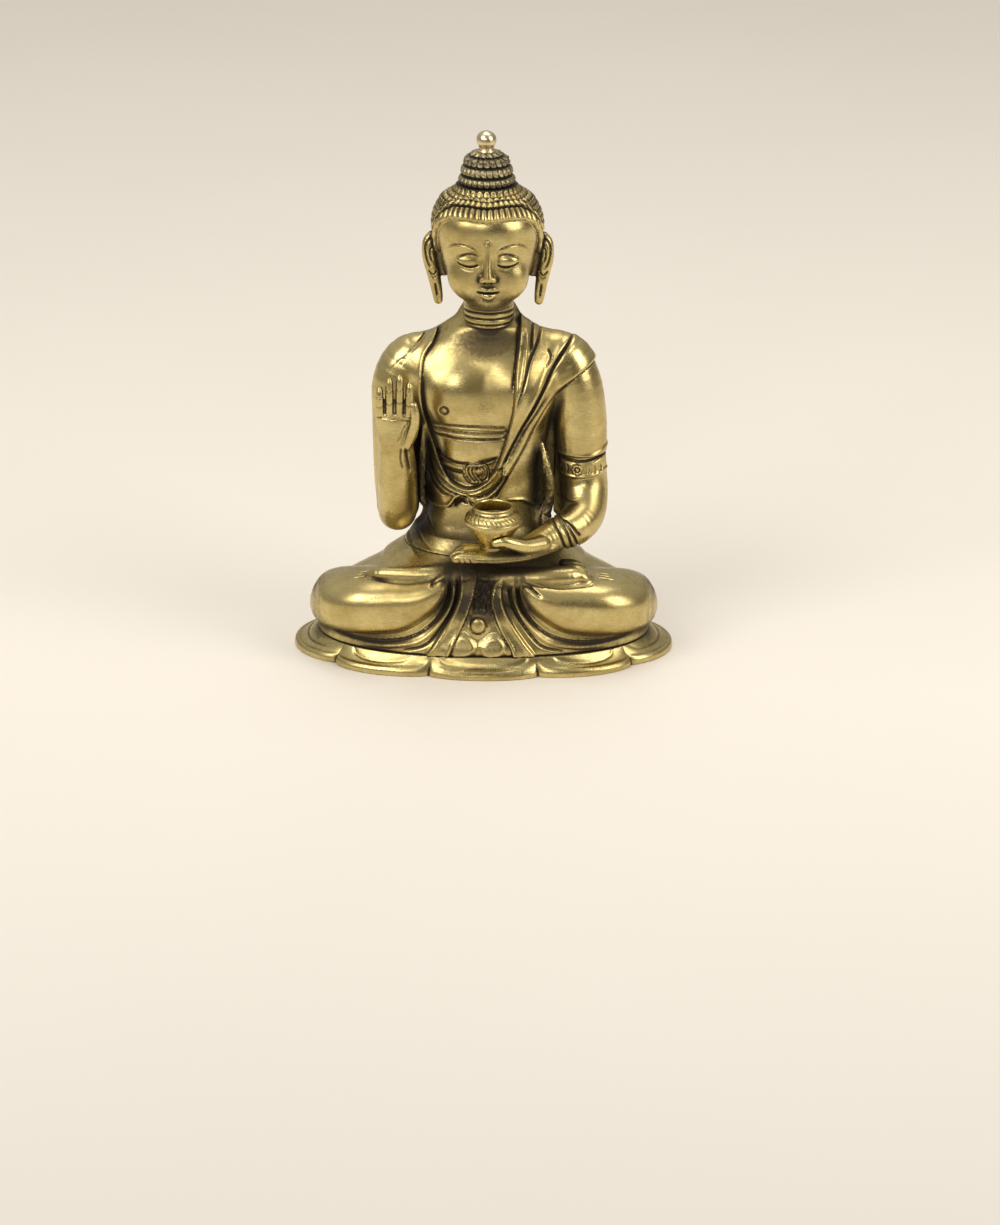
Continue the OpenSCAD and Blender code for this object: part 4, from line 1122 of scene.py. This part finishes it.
def sculpt(name, node, shape, around, lo, hi, h, material):
    cell = h * 1
    points, normals, quads = skin(shape, lo, hi, cell)
    shade = np.zeros(len(points))
    # Darkening where nearby shapes close in over the surface: partly the brass's patina in its hollows,
    # partly painted shade under the hands and between the parts
    for reach in PATINA_SHADE_REACHES:
        d = measure(around, points + normals * reach)
        shade += PATINA_SHADE_SHARE * np.clip(1 - d / reach, 0, 1)
    # patches of painted shade go on top
    shade += painted_shade(points)
    ridge = measure(around, points - normals * RIDGE)
    wear = np.clip((ridge + 0.62) / 0.35, 0, 1) * (1 - shade)
    mesh_piece(name, points, quads, shade, wear, node, material)


def finial(q):
    return finial_body(upright(q))


def crown(q):
    return np.minimum(topknot(q), head(q))


sculpt("Lotus_plate", "lotus_base", base_piece, whole, (-79, -43.5, 0), (79, 43.5, 9), 0.5, brass)
sculpt("Lap_and_legs", "lap_casting", lap_piece, whole, (-72, -37, 8), (72, 37, 44.5), 0.5, brass)
sculpt("Torso_and_robe", "torso_casting", torso_piece, whole, (-52, -20, 44), (52, 33, 148.5), 0.45, brass)
sculpt("Head", "head_casting", head_piece, whole, (-29, -21, 136), (29, 30, 195.4), 0.36, brass)
sculpt("Right_forearm", "right_forearm", right_piece, whole, (-46, -34, 51), (-25, 0, 126), 0.34, brass)
sculpt("Left_forearm", "left_forearm", left_piece, whole, (-15, -41, 42), (53, 18, 84), 0.36, brass)
sculpt("Topknot", "topknot", topknot, crown, (-13, -8, 189.5), (13, 18, 209), 0.27, dull)
sculpt("Jewel_finial", "finial_jewel", finial, finial, (-5, 0, 207), (5, 10, 217), 0.2, pale)
sculpt("Alms_bowl", "alms_bowl", bowl, bowl, (-9.5, -41.5, 51.5), (16.5, -15.5, 72), 0.28, brass)

LOOKS = {"screw_steel": turned_steel, "pale_brass": plain_brass, "cast_brass": plain_brass,
         "aged_brass": plain_brass}
for node in ("bowl_screw", "neck_pin", "right_elbow_pin", "left_elbow_pin", "waist_screws", "base_screws",
             "base_washers"):
    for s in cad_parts[node].material_slots:
        name = s.material.name if s.material else "cast_brass"
        s.material = next((m for key, m in LOOKS.items() if key in name), plain_brass)

# ---- floor, light and camera --------------------------------------------------------------------

centre = Vector(((cad_low[0] + cad_high[0]) / 2, (cad_low[1] + cad_high[1]) / 2,
                 (cad_low[2] + cad_high[2]) / 2))
floor_mesh = bpy.data.meshes.new("Floor")
floor_mesh.from_pydata([(-4, -3, 0), (4, -3, 0), (4, 7, 0), (-4, 7, 0)], [], [(0, 1, 2, 3)])
floor = bpy.data.objects.new("Floor", floor_mesh)
bpy.context.scene.collection.objects.link(floor)
floor.location.z = cad_low[2] - 0.0001
paper = Look("Floor_paper")
tone = paper.mix(paper.noise(3, 3), (0.80, 0.745, 0.665, 1), (0.86, 0.805, 0.725, 1))
# Painted shade on the floor: darker in front of the statue, towards the camera, so the metal's lower faces
# reflect dark there
spot = paper.node("ShaderNodeSeparateXYZ")
paper.join(paper.where, spot.inputs[0])
tone = paper.mix(paper.span(spot.outputs["Y"], -0.8, -0.05), (0.50, 0.47, 0.43, 1), tone)
paper.join(tone, paper.shader.inputs["Base Color"])
paper.shader.inputs["Roughness"].default_value = 0.7
floor_mesh.materials.append(paper.m)


def softbox(name, place, size, power, colour):
    light = bpy.data.lights.new(name, "AREA")
    light.shape = "RECTANGLE"
    light.size, light.size_y = size
    light.energy = power
    light.color = colour
    ob = bpy.data.objects.new(name, light)
    ob.location = place
    ob.rotation_euler = (centre - Vector(place)).to_track_quat("-Z", "Y").to_euler()
    bpy.context.scene.collection.objects.link(ob)


softbox("Window_left", (-1.1, -1.0, 1.3), (1.0, 1.2), 17, (1.0, 0.98, 0.95))
softbox("Window_right", (1.3, -0.7, 0.9), (0.9, 1.2), 13, (1.0, 0.97, 0.92))
softbox("By_the_camera", (-0.35, -1.75, 0.95), (0.7, 0.6), 5, (1.0, 0.98, 0.95))
softbox("Ceiling", (0.1, 0.4, 1.7), (1.2, 0.9), 9, (1.0, 0.98, 0.95))

world = bpy.data.worlds.new("Room")
bpy.context.scene.world = world
world.use_nodes = True
tree = world.node_tree
tree.nodes.clear()
coord = tree.nodes.new("ShaderNodeTexCoord")
ramp = tree.nodes.new("ShaderNodeValToRGB")
background = tree.nodes.new("ShaderNodeBackground")
output = tree.nodes.new("ShaderNodeOutputWorld")
towards = tree.nodes.new("ShaderNodeVectorMath")
towards.operation = "DOT_PRODUCT"
towards.inputs[1].default_value = (-0.12, 0.3, 0.62)
lift = tree.nodes.new("ShaderNodeMapRange")
tree.links.new(coord.outputs["Generated"], towards.inputs[0])
tree.links.new(towards.outputs["Value"], lift.inputs[0])
lift.inputs[1].default_value, lift.inputs[2].default_value = -0.5, 0.6
tree.links.new(lift.outputs[0], ramp.inputs[0])
tree.links.new(ramp.outputs[0], background.inputs[0])
tree.links.new(background.outputs[0], output.inputs[0])
ramp.color_ramp.elements[0].position = 0.15
ramp.color_ramp.elements[0].color = (0.10, 0.078, 0.05, 1)
ramp.color_ramp.elements[1].position = 1.0
ramp.color_ramp.elements[1].color = (0.95, 0.92, 0.86, 1)
for place, colour in ((0.42, (0.22, 0.185, 0.14, 1)), (0.62, (0.5, 0.47, 0.42, 1))):
    ramp.color_ramp.elements.new(place).color = colour
background.inputs[1].default_value = 0.6
bpy.context.scene.view_settings.view_transform = "Standard"

lens = bpy.data.cameras.new("Camera")
lens.lens, lens.sensor_width, lens.sensor_fit = 126.27, 36, "AUTO"
lens.clip_start, lens.clip_end = 0.05, 30
camera = bpy.data.objects.new("Camera", lens)
camera.rotation_mode = "QUATERNION"
down, roll, yaw = math.radians(90 - 21.49), math.radians(0.48), math.radians(-0.11)
turn = Matrix.Rotation(yaw, 4, "Z") @ Matrix.Rotation(down, 4, "X") @ Matrix.Rotation(roll, 4, "Z")
camera.matrix_world = Matrix.Translation((0.00353, -1.6458, 0.6612)) @ turn
bpy.context.scene.collection.objects.link(camera)
bpy.context.scene.camera = camera
